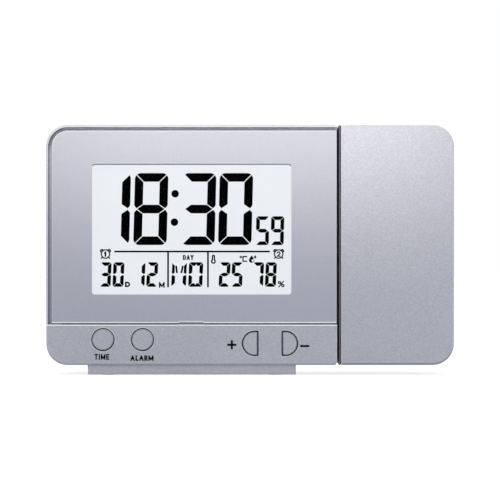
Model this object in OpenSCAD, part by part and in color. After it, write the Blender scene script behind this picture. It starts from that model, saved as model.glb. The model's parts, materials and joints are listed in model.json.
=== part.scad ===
/* [Overall] */
// Height from the table to the top
overall_h = 95; // [93:1:105]
// Radius of the four outer corners, seen from the front
corner_r = 8.2; // [6:0.1:9]

/* [Clock housing] */
// Width of the clock housing without the projector
clock_w = 110.5; // [104:0.5:120]
// Wall of the moulded housings
wall = 2; // [1.6:0.1:2.4]
// Radius of the front edges
front_edge_r = 0.7; // [0.4:0.1:1]
// Radius of the back edges
back_edge_r = 2.5; // [1:0.1:3]
// Width of the raised lip around the front panel
lip_w = 0.8; // [0.6:0.1:1.2]
// Width of the sunk groove between lip and panel
groove_w = 1.1; // [0.6:0.1:1.6]
// Height of the button strip below the panel
strip_h = 15.4; // [14.5:0.1:17]
// Width of the seam between panel and button strip
seam_gap = 0.35; // [0.2:0.05:0.6]
// How far the panel lies behind the lip
panel_drop = 0.5; // [0.3:0.1:0.8]
// Thickness of the front panel
panel_t = 1.1; // [0.8:0.1:1.4]
// Width of the prising notch in the panel's lower edge
notch_w = 9.1; // [6:0.1:12]

/* [Display] */
// Distance from the housing's sides to the display window
window_in = 17.3; // [16:0.1:20]
// Distance from the housing's top to the display window
window_down = 14.7; // [13.5:0.1:18]
// Corner radius of the display window
window_r = 1.1; // [0.5:0.1:2]
// Height of the window above the button strip
window_up = 11.4; // [10.5:0.1:12.4]
// Thickness of the clear window
window_t = 1; // [0.8:0.1:1.1]
// Thickness of each of the two glass plates of the display
glass_t = 1.1; // [0.7:0.1:1.5]
// Thickness of the light guide behind the display
guide_t = 2.6; // [2:0.1:4]
// Thickness of the circuit boards
board_t = 1.6; // [1:0.1:2]

/* [Buttons] */
// Diameter of the round buttons
round_d = 8.2; // [7:0.1:9]
// Width of the D-shaped buttons
half_w = 5.7; // [5:0.1:6.5]
// Height of the D-shaped buttons
half_h = 9.05; // [8:0.05:10]
// Distance from the housing's left side to the time button
time_in = 21.6; // [20.5:0.1:23]
// Distance between the time and alarm buttons
round_pitch = 15; // [12:0.1:20]
// Distance from the housing's right side to the minus button
minus_in = 17.9; // [16.5:0.1:20]
// Distance between the plus and minus buttons
half_pitch = 15.1; // [12:0.1:18]
// How far the buttons stand proud of the strip
button_proud = 0.5; // [0.2:0.1:0.8]
// Travel of the front buttons and the snooze bar
button_travel = 0.8; // [0.4:0.1:0.9]
// Gap around every button
button_gap = 0.35; // [0.2:0.05:0.45]
// Length of the snooze bar
snooze_w = 40; // [30:1:50]
// Depth of the snooze bar, front to back
snooze_d = 7; // [6:0.1:7.4]

/* [Projector] */
// Width of the projector housing
block_w = 43.7; // [40:0.1:50]
// Gap between clock housing and projector
side_gap = 0.8; // [0.5:0.1:1.2]
// Diameter of the hollow pivot
pivot_d = 16; // [14:0.1:17]
// Bore of the hollow pivot
pivot_bore = 10; // [8:0.1:11]
// Radial clearance of shafts and slides
fit_gap = 0.1; // [0.05:0.01:0.1]
// Thickness of the focus wheel
wheel_t = 5; // [4:0.1:6]
// How far the focus wheel stands out of the back
wheel_proud = 1.2; // [0.6:0.1:1.6]
// Outer diameter of the lens barrel
barrel_d = 15; // [13:0.1:15.6]
// Length of the lens barrel
barrel_l = 19; // [17:0.1:20]
// Focusing travel each way
focus_travel = 1; // [0.5:0.1:1.2]
// Travel of the projection switch each way
switch_travel = 1.5; // [1:0.1:1.8]

/* [Battery compartment] */
// Diameter of an AA cell
cell_d = 14.5; // [13.5:0.1:14.5]
// Length of an AA cell with its terminal
cell_l = 50.5; // [49:0.1:52]
// Room for the contact spring
spring_l = 5; // [4:0.1:6]
// Thickness of the battery cover
cover_t = 1.6; // [1.2:0.1:1.8]
// Free room between the main board and the battery compartment
board_room = 0.55; // [0.4:0.05:4]

/* [Foot] */
// Width of the foot
foot_w = 79.3; // [70:0.1:90]
// Height of the housings above the table
foot_h = 3.8; // [3.4:0.1:5]
// Depth of the foot, front to back
foot_d = 40.4; // [36:0.1:46]
// How far the foot's front lies behind the housing's front
foot_back = 1.1; // [0.5:0.1:2]
// How far the rubber pads stand below the foot
pad_proud = 0.2; // [0.1:0.1:0.5]
// Diameter of the rubber pads
pad_d = 9; // [6:0.1:10]

/* [Hidden] */
$fn = 48;

// Depth of both housings: the display stack in front, the cells behind
shell_t = 1.4;
cell_gap = 0.25;
bay_floor_t = 1.2;
cover_room = 0.1;
cell_back = 0.4;
stack_d = panel_drop + panel_t + shell_t + 2 * glass_t + guide_t + board_t;
case_d = stack_d + board_room + bay_floor_t + cell_gap + cell_d + cell_back + cover_room + cover_t;

// Datum planes
overall_w = clock_w + side_gap + block_w;
overall_d = button_proud + foot_back + foot_d;
left_x = -overall_w / 2;
right_x = overall_w / 2;
clock_x1 = left_x + clock_w;
clock_cx = left_x + clock_w / 2;
block_x0 = clock_x1 + side_gap;
front_y = button_proud - overall_d / 2;
back_y = front_y + case_d;
mid_y = front_y + case_d / 2;
floor_z = foot_h;
top_z = overall_h;
seam_z = floor_z + strip_h;
pivot_z = (floor_z + top_z) / 2;
touch = 0.05;
cut = 1;
reveal = 0.25;
end_corner_r = 1.1;

// Front panel and window
panel_y = front_y + panel_drop;
recess_y = panel_y + panel_t;
display_y = recess_y + shell_t;
panel_x0 = left_x + lip_w + groove_w;
panel_z0 = seam_z + seam_gap;
panel_z1 = top_z - lip_w - groove_w;
panel_edge = 0.35;
window_x = [left_x + window_in, clock_x1 - window_in];
window_z = [seam_z + window_up, top_z - window_down];
window_w = window_x[1] - window_x[0];
window_h = window_z[1] - window_z[0];
window_seat = 1.3;

// Display stack
glass_over = 1.8;
ledge_h = 3.2;
strip_t = 2;
guide_y = display_y + 2 * glass_t;
board_y = guide_y + guide_t;
board_back = board_y + board_t;
frame_over = 3;
holder_gap = 0.15;
// Pegs of the holder that locate it in the board
peg_d = 0.9;
pegs = [for (s = [-1, 1]) [clock_cx + s * (window_w / 2 - 8),
    window_z[1] + (glass_over + holder_gap + frame_over) / 2]];
pivot_flange_x = clock_x1 - wall - 3.4;
board_x = [left_x + wall + 3.6, pivot_flange_x - 1.2];
board_z = [floor_z + wall + 1.8, window_z[1] + 2.9];
board_post_d = 4.4;
// The posts stand midway between the display's holder and the board's edges
board_posts = [for (x = [board_x[0] + window_x[0] - frame_over, board_x[1] + window_x[1] + frame_over],
    z = [board_z[0] + 16.5, board_z[1] - 5.2]) [x / 2, z]];
notch_gap = 2;

// Buttons: [x, z] of each centre
flange_t = 1;
flange_over = 0.7;
flange_room = 0.3;
strip_web = 0.6;
round_z = seam_z - strip_web - flange_room - flange_over - round_d / 2;
half_z = floor_z + (wall + strip_h - strip_web) / 2 - 0.1;
half_corner_r = 0.5;
flange_y = front_y + wall + touch;
switch_w = 6;
switch_h = 3.4;
plunger_d = 3.3;
plunger_y = board_y - switch_h - button_travel - 0.1;
plunger_l = 2.8;
snooze_plunger_d = 2.4;
buttons = [
    [left_x + time_in, round_z], [left_x + time_in + round_pitch, round_z],
    [clock_x1 - minus_in - half_pitch, half_z], [clock_x1 - minus_in, half_z]];

// Snooze bar in the top, over its switch on the back of the board
snooze_y = mid_y - snooze_d / 2 - 1;
snooze_flange_z = top_z - wall - touch;
snooze_switch_z = [board_z[1] - 6.2, board_z[1] - 0.2];
snooze_stem_y = board_back + switch_h / 2;
snooze_plunger_z = snooze_switch_z[1] + button_travel + 0.1;

// Housing screws
boss_d = 6;
boss_in = 5.6;
boss_side = 3.8;
screw_d = 2.5;
head_d = 5.2;
head_t = 1.8;
head_y = mid_y + 3;
case_screw_l = 10.5;
small_d = 1.8;
small_head_d = 3.8;
small_head_t = 1.2;
small_hole_d = 2.4;
case_bosses = [for (x = [left_x + wall + boss_in, clock_x1 - wall - boss_side],
    z = [floor_z + wall + boss_in, top_z - wall - boss_in]) [x, z]];

// Battery compartment
bay_wall = 1.4;
contact_t = 0.4;
bay_l = cell_l + spring_l + 2 * contact_t + 0.5;
bay_h = 2 * cell_d + 4 * cell_gap;
bay_x = [clock_cx - bay_l / 2, clock_cx + bay_l / 2];
bay_z1 = snooze_switch_z[0] - bay_wall - 0.3;
bay_z0 = bay_z1 - bay_h;
cover_y = back_y - cover_t;
bay_y1 = cover_y - cover_room;
cell_y = bay_y1 - cell_back - cell_d / 2;
bay_y0 = cell_y - cell_d / 2 - cell_gap;
cover_gap = 0.15;
cover_z0 = bay_z0 - bay_wall + cover_gap;
hinge_y = back_y - cover_t / 2;
hinge_z = cover_z0 + cover_t / 2;
cells = [[1, bay_z1 - cell_gap - cell_d / 2], [-1, bay_z0 + cell_gap + cell_d / 2]];
tongue_x = bay_l / 2 - 10;
tongue_w = 5;
tongue_z = 3;
tongue_y = back_y - wall - 0.1;
tongue_t = 1.2;
tongue_root = 1.1;
tongue_reach = 2.8;

// Sound holes, vents and power inlet in the back
foot_screw_l = 8;
foot_boss_z = floor_z + wall + foot_screw_l - 1;
buzzer_in = 19.75;
buzzer_below = 14.1;
buzzer_at = [left_x + buzzer_in, bay_z0 - bay_wall - buzzer_below];
buzzer_d = 20;
buzzer_t = 4.5;
sound_r = 4.2;
sound_d = 1.8;
vent_in = 11.75;
vent_below = 29.2;
vent_at = [left_x + vent_in, top_z - vent_below];
vent_w = 11;
vent_pitch = 2.6;
vents = 5;
jack_in = 21.25;
jack_low = 5.4;
jack_high = 4;
jack_at = [clock_x1 - jack_in, foot_boss_z + jack_low + 0.2];
jack_d = 6.6;
jack_bore = 3.8;
jack_pin = 1.3;
jack_w = 9;
jack_l = 9.5;

// Chip and crystal on the back of the board, below the battery compartment
chip_r = 9;
chip_rise = 2;
chip_at = [clock_cx - 2, bay_z0 - bay_wall - 13.1];
crystal_x = chip_at[0] + 16;

// Foot
foot_x = [clock_cx - foot_w / 2, clock_cx + foot_w / 2];
foot_y = [front_y + foot_back, front_y + foot_back + foot_d];
foot_rear_t = 2.2;
foot_lean = 0.3;
foot_skin = 1.4;
pad_sunk = 0.8;
foot_screw_in = 17.65;
foot_screws_x = [foot_x[0] + foot_screw_in, foot_x[1] - foot_screw_in];
foot_screw_y = 1;
foot_head_t = 1.4;
foot_seat_z = pad_proud + foot_head_t + 0.3;

// Pivot between the two housings
pivot_flange_d = pivot_d + 4;
pivot_flange_t = 1.6;
washer_t = 1.6;
stop_w = 2;
stop_reach = 1.6;
stop_gap = 0.3;
stop_r = pivot_flange_d / 2 + stop_reach / 2;
cap_rim = 0.4;
cap_groove = 0.3;
cap_sunk = 0.6;
cap_t = 2;
shell_x0 = block_x0 + cap_rim + cap_groove;
cap_x1 = shell_x0 + cap_t;
clip_t = 1;
clip_x = cap_x1 + touch;
pivot_end_x = clip_x + clip_t + 0.8;
pivot_flat = 1.2;

// Optics, stacked along the lens axis from the lamp to the top
lens_x = (shell_x0 + right_x) / 2;
tube_wall = 1.8;
tube_d = barrel_d + 2 * fit_gap + 2 * tube_wall;
tube_gap = 0.2;
wheel_gap = 0.4;
wheel_d = tube_d + 2 * (wall + wheel_proud + tube_gap);
lens_y = back_y + wheel_proud - wheel_d / 2;
ring_d = tube_d + 4;
ring_t = 1;
barrel_z1 = top_z - 4 - focus_travel;
barrel_z0 = barrel_z1 - barrel_l;
barrel_stop = 7;
lens_sunk = 5.4;
sleeve_l = 11.5;
wheel_z1 = top_z - sleeve_l - touch;
wheel_z0 = wheel_z1 - wheel_t;
tube_z1 = wheel_z0 - touch;
slide_z = barrel_z0 - focus_travel - 2.6;
slide_t = 2.2;
condenser_t = 4;
condenser_z = slide_z - condenser_t - 0.1;
lamp_board_t = 1.2;
tube_z0 = condenser_z - 9;
slide_w = 9.6;
wing_w = 26;
wing_t = 2;
wing_z = [tube_z0 + 3, tube_z0 + 19];

// Projector board and switch
small_board_x = [shell_x0 + 4.2, right_x - 4.4];
small_board_y = back_y - wall - 6.6;
small_board_back = small_board_y + board_t;
small_board_z = [floor_z + 13, floor_z + 38];
arm_w = 8;
socket_w = 4.8;
socket_h = 4;
wire_d = 1;
socket_x = small_board_x[0] + 2.2;
clock_socket_x = board_x[1] - 4.6;
slot_at = [lens_x, floor_z + 24];
knob_w = 5;
knob_h = 3;
knob_proud = 0.7;
block_boss_in = 4.6;
block_bosses = [for (x = [shell_x0 + block_boss_in, right_x - block_boss_in - 1],
    z = [floor_z + wall + boss_in, top_z - wall - boss_in]) [x, z]];
small_posts = [for (x = [small_board_x[0] + 3, small_board_x[1] - 3]) [x, small_board_z[0] + 6]];

// ---- Shared shapes ----

module bar(a, b) translate(a) cube(b - a);
module rod_x(x0, x1, p, d) translate([x0, p[0], p[1]]) rotate([0, 90, 0]) cylinder(h = x1 - x0, d = d);
module rod_y(p, y0, y1, d) translate([p[0], y0, p[1]]) rotate([-90, 0, 0]) cylinder(h = y1 - y0, d = d);
module rod_z(p, z0, z1, d) translate([p[0], p[1], z0]) cylinder(h = z1 - z0, d = d);

module along_x(x0, x1) translate([x0, 0, 0]) rotate([90, 0, 90]) linear_extrude(x1 - x0) children();
module along_y(y0, y1) translate([0, y1, 0]) rotate([90, 0, 0]) linear_extrude(y1 - y0) children();
module along_z(z0, z1) translate([0, 0, z0]) linear_extrude(z1 - z0) children();

function grow(b, d) = [b[0] - d, b[1] - d, b[2] + d, b[3] + d];

// What is outside a round corner at p, where s points into the outline
module corner_cut(p, s, r) difference() {
    translate([min(p[0] - s[0], p[0] + s[0] * r), min(p[1] - s[1], p[1] + s[1] * r)]) square(r + 1);
    translate([p[0] + s[0] * r, p[1] + s[1] * r]) circle(r);
}

// Rectangle [x0, y0, x1, y1] with a radius for each corner, anticlockwise from the lower left
module rounded(b, r) difference() {
    translate([b[0], b[1]]) square([b[2] - b[0], b[3] - b[1]]);
    for (i = [0:3]) if (r[i] > 0) corner_cut(
        [b[[0, 2, 2, 0][i]], b[[1, 1, 3, 3][i]]], [[1, 1], [-1, 1], [-1, -1], [1, -1]][i], r[i]);
}

// Edge of a rounded slab: x is the distance outwards, y is the depth
module edge_band(e, y0, y1, ef, eb) difference() {
    translate([-touch, y0]) square([e + touch, y1 - y0]);
    if (ef > 0) corner_cut([e, y0], [-1, 1], ef);
    if (eb > 0) corner_cut([e, y1], [-1, -1], eb);
}

// Slab along Y whose front and back edges are rounded by ef and eb; one side may stay square
module soft_slab(b, r, y0, y1, ef, eb, left = true, right = true) {
    e = max(ef, eb);
    soft = [left, right, right, left];
    lower = [b[0] + (left ? r[0] : 0), b[2] - (right ? r[1] : 0)];
    upper = [b[0] + (left ? r[3] : 0), b[2] - (right ? r[2] : 0)];
    along_y(y0, y1) rounded(
        [b[0] + (left ? e : 0), b[1] + e, b[2] - (right ? e : 0), b[3] - e],
        [for (i = [0:3]) soft[i] ? r[i] - e : 0]);
    along_x(lower[0], lower[1])
        translate([0, b[1] + e]) rotate(-90) edge_band(e, y0, y1, ef, eb);
    along_x(upper[0], upper[1])
        translate([0, b[3] - e]) mirror([0, 1]) rotate(-90) edge_band(e, y0, y1, ef, eb);
    if (left) along_z(b[1] + r[0], b[3] - r[3])
        translate([b[0] + e, 0]) mirror([1, 0]) edge_band(e, y0, y1, ef, eb);
    if (right) along_z(b[1] + r[1], b[3] - r[2])
        translate([b[2] - e, 0]) edge_band(e, y0, y1, ef, eb);
    for (i = [0:3]) if (soft[i])
        translate([b[[0, 2, 2, 0][i]] + [1, -1, -1, 1][i] * r[i], 0,
            b[[1, 1, 3, 3][i]] + [1, 1, -1, -1][i] * r[i]])
            rotate([-90, 0, 0]) rotate([0, 0, [90, 0, 270, 180][i]])
                rotate_extrude(angle = 90) translate([r[i] - e, 0]) edge_band(e, y0, y1, ef, eb);
}

// Screw along +Y with its head's seat at y = 0 and a cross recess, in a housing of its own
module screw(d, l, hd, ht) difference() {
    union() {
        rod_y([0, 0], -l, touch, d);
        rod_y([0, 0], 0, ht, hd);
    }
    for (a = [0, 90]) rotate([0, a, 0])
        bar([-hd * 0.3, ht * 0.45, -hd * 0.06], [hd * 0.3, ht + cut, hd * 0.06]);
}

// ---- Clock housing ----

clock_box = [left_x, floor_z, clock_x1, top_z];
clock_inner = [left_x + wall, floor_z + wall, clock_x1 - wall, top_z - wall];
inner_r = [corner_r - wall, 0.5, 0.5, corner_r - wall];

module clock_shell(y0, y1, ef, eb) difference() {
    soft_slab(clock_box, [corner_r, 0, 0, corner_r], y0, y1, ef, eb, right = false);
    along_y(y0 - cut, y1 + cut) {
        corner_cut([clock_x1, floor_z], [-1, 1], end_corner_r);
        corner_cut([clock_x1, top_z], [-1, -1], end_corner_r);
    }
}

module window_shape(d) rounded(
    grow([window_x[0], window_z[0], window_x[1], window_z[1]], d), [1, 1, 1, 1] * (window_r + max(0, d)));

// D outline, flat on the side that s points to
module half_shape(s, d) mirror([s < 0 ? 1 : 0, 0]) translate([half_h / 2 - half_w / 2, 0]) {
    intersection() {
        circle(half_h / 2 + d);
        translate([-half_h, -half_h]) square([half_h, 2 * half_h]);
    }
    rounded([-touch, -half_h / 2 - d, half_w - half_h / 2 + d, half_h / 2 + d],
        [0, half_corner_r, half_corner_r, 0]);
}

module snooze_shape(d) translate([clock_cx, snooze_y]) rounded(
    grow([-snooze_w, -snooze_d, snooze_w, snooze_d] / 2, d), [1, 1, 1, 1] * (snooze_d / 2 + d - touch));

module pivot_hole() rod_x(clock_x1 - wall - cut, clock_x1 + cut, [mid_y, pivot_z], pivot_d + 2 * fit_gap);

module front_case() color("silver") difference() {
    union() {
        difference() {
            clock_shell(front_y, mid_y, front_edge_r, reveal);
            along_y(display_y, mid_y + cut) rounded(clock_inner, inner_r);
            along_y(front_y + wall, display_y + cut) rounded(
                [clock_inner[0], clock_inner[1], clock_inner[2], seam_z - strip_web],
                [corner_r - wall, 0.5, 0, 0]);
        }
        for (p = case_bosses) rod_y(p, display_y - shell_t / 2, mid_y, boss_d);
        for (p = case_bosses) if (p[1] < seam_z) rod_y(p, front_y + wall / 2, display_y, boss_d);
        for (p = board_posts) rod_y(p, display_y - shell_t / 2, board_y, board_post_d);
        // Ribs that stop the projector a quarter turn each way
        for (s = [-1, 1]) translate([0, mid_y - stop_w - stop_gap, pivot_z + s * (stop_r + touch)])
            bar([pivot_flange_x, -stop_w, -stop_reach / 2], [clock_x1 - wall / 2, 0, stop_reach / 2]);
    }
    along_y(front_y - cut, recess_y) rounded(
        [left_x + lip_w, seam_z, clock_x1 + cut, top_z - lip_w], [0, 0, 0, corner_r - lip_w]);
    along_y(recess_y - cut, recess_y + window_t) window_shape(window_seat);
    along_y(recess_y, display_y + cut) window_shape(0.4);
    for (i = [0, 1]) rod_y(buttons[i], front_y - cut, display_y, round_d + 2 * button_gap);
    for (i = [2, 3]) translate([buttons[i][0], 0, buttons[i][1]])
        along_y(front_y - cut, display_y) half_shape(i == 2 ? 1 : -1, button_gap);
    along_z(top_z - wall - cut, top_z + cut) snooze_shape(button_gap);
    for (p = case_bosses) rod_y(p, mid_y - 9, mid_y + cut, screw_d + 2 * touch);
    for (p = board_posts) rod_y(p, board_y - 4, board_y + cut, small_d + 2 * touch);
    pivot_hole();
}

module front_panel() color("gainsboro") difference() {
    soft_slab([panel_x0, panel_z0, clock_x1, panel_z1],
        [0.5, 0.5, 0.5, corner_r - lip_w - groove_w], panel_y, recess_y, panel_edge, 0);
    along_y(panel_y - cut, recess_y + cut) window_shape(0);
    bar([clock_cx - notch_w / 2, panel_y - cut, panel_z0 - cut],
        [clock_cx + notch_w / 2, recess_y + cut, panel_z0 + 0.5]);
}

module lcd_window() color([0.9, 0.95, 1, 0.3])
    along_y(recess_y, recess_y + window_t) window_shape(window_seat - 0.15);

module lcd_glass() color([0.8, 0.88, 0.85, 0.6]) {
    along_y(display_y, display_y + glass_t) rounded(
        [window_x[0] - glass_over, window_z[0] - glass_over - ledge_h,
            window_x[1] + glass_over, window_z[1] + glass_over], [0, 0, 0, 0]);
    along_y(display_y + glass_t, guide_y) window_shape(glass_over);
}

module contact_strip() color("dimgray") bar(
    [window_x[0] + 4, display_y + glass_t, window_z[0] - glass_over - ledge_h + 0.5],
    [window_x[1] - 4, board_y, window_z[0] - glass_over - ledge_h + 0.5 + strip_t]);

module light_guide() color([0.95, 0.97, 1, 0.7]) difference() {
    along_y(guide_y, board_y) window_shape(glass_over - 0.3);
    for (z = [0.3, 0.7]) bar(
        [window_x[1] + 0.4, guide_y - cut, window_z[0] + window_h * z - 2.2],
        [window_x[1] + 3, board_y + cut, window_z[0] + window_h * z + 2.2]);
}

module backlight_leds() color("ivory") for (z = [0.3, 0.7]) bar(
    [window_x[1] + 0.5, board_y - 1.8, window_z[0] + window_h * z - 1.9],
    [window_x[1] + 1.7, board_y, window_z[0] + window_h * z + 1.9]);

module lcd_holder() color("whitesmoke") {
    over = glass_over + holder_gap;
    low = over + ledge_h;
    difference() {
        along_y(display_y + 0.3, board_y) rounded(
            [window_x[0] - frame_over, window_z[0] - ledge_h - frame_over,
                window_x[1] + frame_over, window_z[1] + frame_over], [1, 1, 1, 1]);
        along_y(display_y, board_y + cut) rounded(
            [window_x[0] - over, window_z[0] - low, window_x[1] + over, window_z[1] + over], [0, 0, 0, 0]);
    }
    for (p = pegs) rod_y(p, board_y - cut, board_back + 0.4, peg_d);
}

module main_board() color("seagreen") difference() {
    along_y(board_y, board_back) rounded([board_x[0], board_z[0], board_x[1], board_z[1]], [1, 1, 1, 1]);
    // Corners cut away around the housing's screw posts
    for (p = case_bosses) along_y(board_y - cut, board_back + cut)
        rounded(grow([p[0], p[1], p[0], p[1]], boss_d / 2 + notch_gap), [1, 1, 1, 1] * 0.8);
    for (p = board_posts) rod_y(p, board_y - cut, board_back + cut, small_hole_d);
    for (p = pegs) rod_y(p, board_y - cut, board_back + cut, peg_d + 2 * fit_gap);
}

module clock_chip() color("black") translate([chip_at[0], board_back, chip_at[1]]) rotate([-90, 0, 0])
    rotate_extrude() intersection() {
        // The dome's arc falls to nothing just beyond the chip's edge
        dome = (pow(chip_r + 0.6, 2) + chip_rise * chip_rise) / (2 * chip_rise);
        translate([0, chip_rise - dome]) circle(dome, $fn = 240);
        square([chip_r, 2 * chip_rise]);
    }

module quartz_crystal() color("silver") {
    can_y = board_back + 1.1;
    can_z = chip_at[1] - 3;
    rod_z([crystal_x, can_y], can_z, can_z + 6, 2);
    for (s = [-1, 1]) rod_z([crystal_x + s * 0.5, can_y], can_z - 1.5, can_z + 0.1, 0.35);
    bar([crystal_x - 1, board_back, can_z - 2.4], [crystal_x + 1, board_back + 1.4, can_z - 1.5]);
}

module switch_case(hole_l) difference() {
    translate([-switch_w / 2, -switch_h, -switch_w / 2]) cube([switch_w, switch_h, switch_w]);
    rod_y([0, 0], -switch_h - cut, -switch_h + hole_l, plunger_d + 2 * fit_gap);
    for (x = [-1, 1], z = [-1, 1]) rod_y([x * 2.3, z * 2.3], -switch_h - cut, -switch_h + 0.2, 0.9);
}

module tact_switches() color("dimgray") {
    for (p = buttons) translate([p[0], board_y, p[1]]) switch_case(switch_h - 0.4);
    difference() {
        bar([clock_cx - switch_w / 2, board_back, snooze_switch_z[0]],
            [clock_cx + switch_w / 2, board_back + switch_h, snooze_switch_z[1]]);
        rod_z([clock_cx, snooze_stem_y], snooze_switch_z[1] - 3, top_z, snooze_plunger_d + 2 * fit_gap);
    }
}

module button_plunger(i) color("black") rod_y(buttons[i], plunger_y, plunger_y + plunger_l, plunger_d);
module time_plunger() button_plunger(0);
module alarm_plunger() button_plunger(1);
module plus_plunger() button_plunger(2);
module minus_plunger() button_plunger(3);
module snooze_plunger() color("black")
    rod_z([clock_cx, snooze_stem_y], snooze_plunger_z - plunger_l, snooze_plunger_z, snooze_plunger_d);

// Round key with a rolled edge, a collar behind the wall and a stem onto its switch
module round_button(i) color("silver") translate([buttons[i][0], 0, buttons[i][1]]) {
    edge = 0.4;
    top = front_y - button_proud;
    rotate([-90, 0, 0]) rotate_extrude() {
        difference() {
            translate([0, top]) square([round_d / 2, flange_y - top + touch]);
            corner_cut([round_d / 2, top], [-1, 1], edge);
        }
        translate([0, flange_y]) square([round_d / 2 + flange_over, flange_t]);
    }
    rod_y([0, 0], flange_y + touch, plunger_y, plunger_d);
}

// D-shaped key, flat on the side that s points to
module half_button(i, s) color("silver") translate([buttons[i][0], 0, buttons[i][1]]) {
    along_y(front_y - button_proud, front_y - button_proud / 2 + touch) half_shape(s, -0.15);
    along_y(front_y - button_proud / 2, flange_y + touch) half_shape(s, 0);
    along_y(flange_y, flange_y + flange_t) half_shape(s, flange_over);
    rod_y([0, 0], flange_y + touch, plunger_y, plunger_d);
}

module time_button() round_button(0);
module alarm_button() round_button(1);
module plus_button() half_button(2, 1);
module minus_button() half_button(3, -1);

module snooze_bar() color("silver") {
    along_z(snooze_flange_z - touch, top_z) snooze_shape(0);
    along_z(snooze_flange_z - flange_t, snooze_flange_z) snooze_shape(flange_over);
    translate([clock_cx, 0, 0])
        bar([-2, snooze_y - 1, snooze_plunger_z + 1.5], [2, snooze_stem_y, snooze_flange_z - touch]);
    rod_z([clock_cx, snooze_stem_y], snooze_plunger_z, snooze_flange_z - touch, 3);
}

module cable_socket() color("ivory") difference() {
    bar([clock_socket_x, board_back, pivot_z - socket_h / 2],
        [clock_socket_x + socket_w, mid_y + 2, pivot_z + socket_h / 2]);
    bar([clock_socket_x + 1, mid_y - 1.3, pivot_z - 1.3],
        [clock_socket_x + socket_w + cut, mid_y + 1.3, pivot_z + 1.3]);
}

// Four wires on the pivot's axis, so that the turning projector only twists them
module projector_cable() for (i = [0:3]) color(["red", "black", "white", "gold"][i])
    rod_x(clock_socket_x + 1, socket_x - 0.3,
        [mid_y + (i % 2 - 0.5) * 1.1, pivot_z + (floor(i / 2) - 0.5) * 1.1], wire_d);

// ---- Back of the clock ----

bay_box = [bay_x[0], bay_z0, bay_x[1], bay_z1];
bay_r = [1, 1, 1, 1];

// Tongue behind the parting line that locates the front half, open at the pivot and the snooze bar
module joint_tongue() difference() {
    lap = 1.5;
    thick = 1.1;
    r = corner_r - wall;
    union() {
        along_y(mid_y, mid_y + lap) rounded(grow(clock_inner, touch), inner_r);
        along_y(mid_y - lap, mid_y + touch) rounded(grow(clock_inner, -fit_gap), [r, 0.4, 0.4, r]);
    }
    along_y(mid_y - lap - cut, mid_y + lap + cut) rounded(grow(clock_inner, -thick), [r - 1, 0, 0, r - 1]);
    bar([clock_x1 - wall - 2, mid_y - 2, floor_z], [clock_x1, mid_y + 2, top_z]);
    translate([clock_cx, mid_y, top_z]) bar([-snooze_w / 2 - 2, -2, -5], [snooze_w / 2 + 2, 2, 0]);
}

module rear_case() color("silver") difference() {
    union() {
        difference() {
            clock_shell(mid_y, back_y, reveal, back_edge_r);
            along_y(mid_y - cut, back_y - wall) rounded(clock_inner, inner_r);
        }
        joint_tongue();
        along_y(bay_y0 - bay_floor_t, back_y - wall + touch) rounded(grow(bay_box, bay_wall), bay_r);
        for (p = case_bosses) rod_y(p, mid_y, back_y - wall + touch, boss_d + 2);
        for (x = foot_screws_x)
            rod_z([x, foot_screw_y], floor_z + wall / 2, foot_boss_z, boss_d);
        rod_y(buzzer_at, back_y - wall - buzzer_t, back_y - wall + touch, buzzer_d + 3);
        for (s = [-1, 1]) bar(
            [jack_at[0] + s * (jack_w / 2 + 0.7) - 0.6, back_y - wall - jack_l + 1, jack_at[1] - jack_low],
            [jack_at[0] + s * (jack_w / 2 + 0.7) + 0.6, back_y - wall + touch, jack_at[1] + jack_high]);
        for (s = [-1, 1]) bar(
            [vent_at[0] + s * (vent_w / 2 + 1.2) - 0.6, back_y - wall - 4, vent_at[1] - 7],
            [vent_at[0] + s * (vent_w / 2 + 1.2) + 0.6, back_y - wall + touch, vent_at[1] + 7]);
    }
    along_y(bay_y0, back_y + cut) rounded(bay_box, bay_r);
    along_y(bay_y1, back_y + cut) rounded(grow(bay_box, bay_wall), [0, 0, 1, 1]);
    for (s = [-1, 1]) translate([clock_cx + s * tongue_x, 0, bay_z0 - bay_wall]) {
        half = tongue_w / 2 + 0.3;
        bar([-half, tongue_y - tongue_t - 2.6, -tongue_z], [half, back_y - wall, bay_wall + cut]);
        bar([-half, tongue_y - tongue_t, 0], [half, bay_y1 + touch, bay_wall + cut]);
    }
    for (p = case_bosses) {
        rod_y(p, mid_y - cut, back_y, screw_d + 0.5);
        rod_y(p, head_y, back_y + cut, head_d + 0.6);
    }
    for (x = foot_screws_x)
        rod_z([x, foot_screw_y], floor_z - cut, floor_z + foot_screw_l, screw_d + 2 * touch);
    rod_y(buzzer_at, back_y - wall - buzzer_t - cut, back_y - wall, buzzer_d + 0.2);
    for (a = [0:60:360]) rod_y(buzzer_at + (a < 360 ? sound_r : 0) * [cos(a), sin(a)],
        back_y - wall - cut, back_y + cut, sound_d);
    for (i = [0:vents - 1]) along_y(back_y - wall - cut, back_y + cut) {
        z = vent_at[1] + (i - (vents - 1) / 2) * vent_pitch;
        rounded([vent_at[0] - vent_w / 2, z - 0.6, vent_at[0] + vent_w / 2, z + 0.6], [1, 1, 1, 1] * 0.55);
    }
    rod_y(jack_at, back_y - wall - cut, back_y + cut, jack_d + 0.2);
    rod_x(pivot_flange_x - stop_gap, pivot_flange_x + pivot_flange_t + stop_gap,
        [mid_y, pivot_z], 2 * stop_r + stop_reach + 2 * stop_gap);
    pivot_hole();
}

module battery_cells() for (c = cells)
    translate([clock_cx, cell_y, c[1]]) rotate([0, c[0] < 0 ? 180 : 0, 0]) {
    x0 = -bay_l / 2 + contact_t + spring_l + 0.2;
    nub = 1.2;
    color("dimgray") rod_x(x0, x0 + cell_l - nub, [0, 0], cell_d);
    color("silver") rod_x(x0 + cell_l - nub - touch, x0 + cell_l, [0, 0], 5.4);
}

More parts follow.
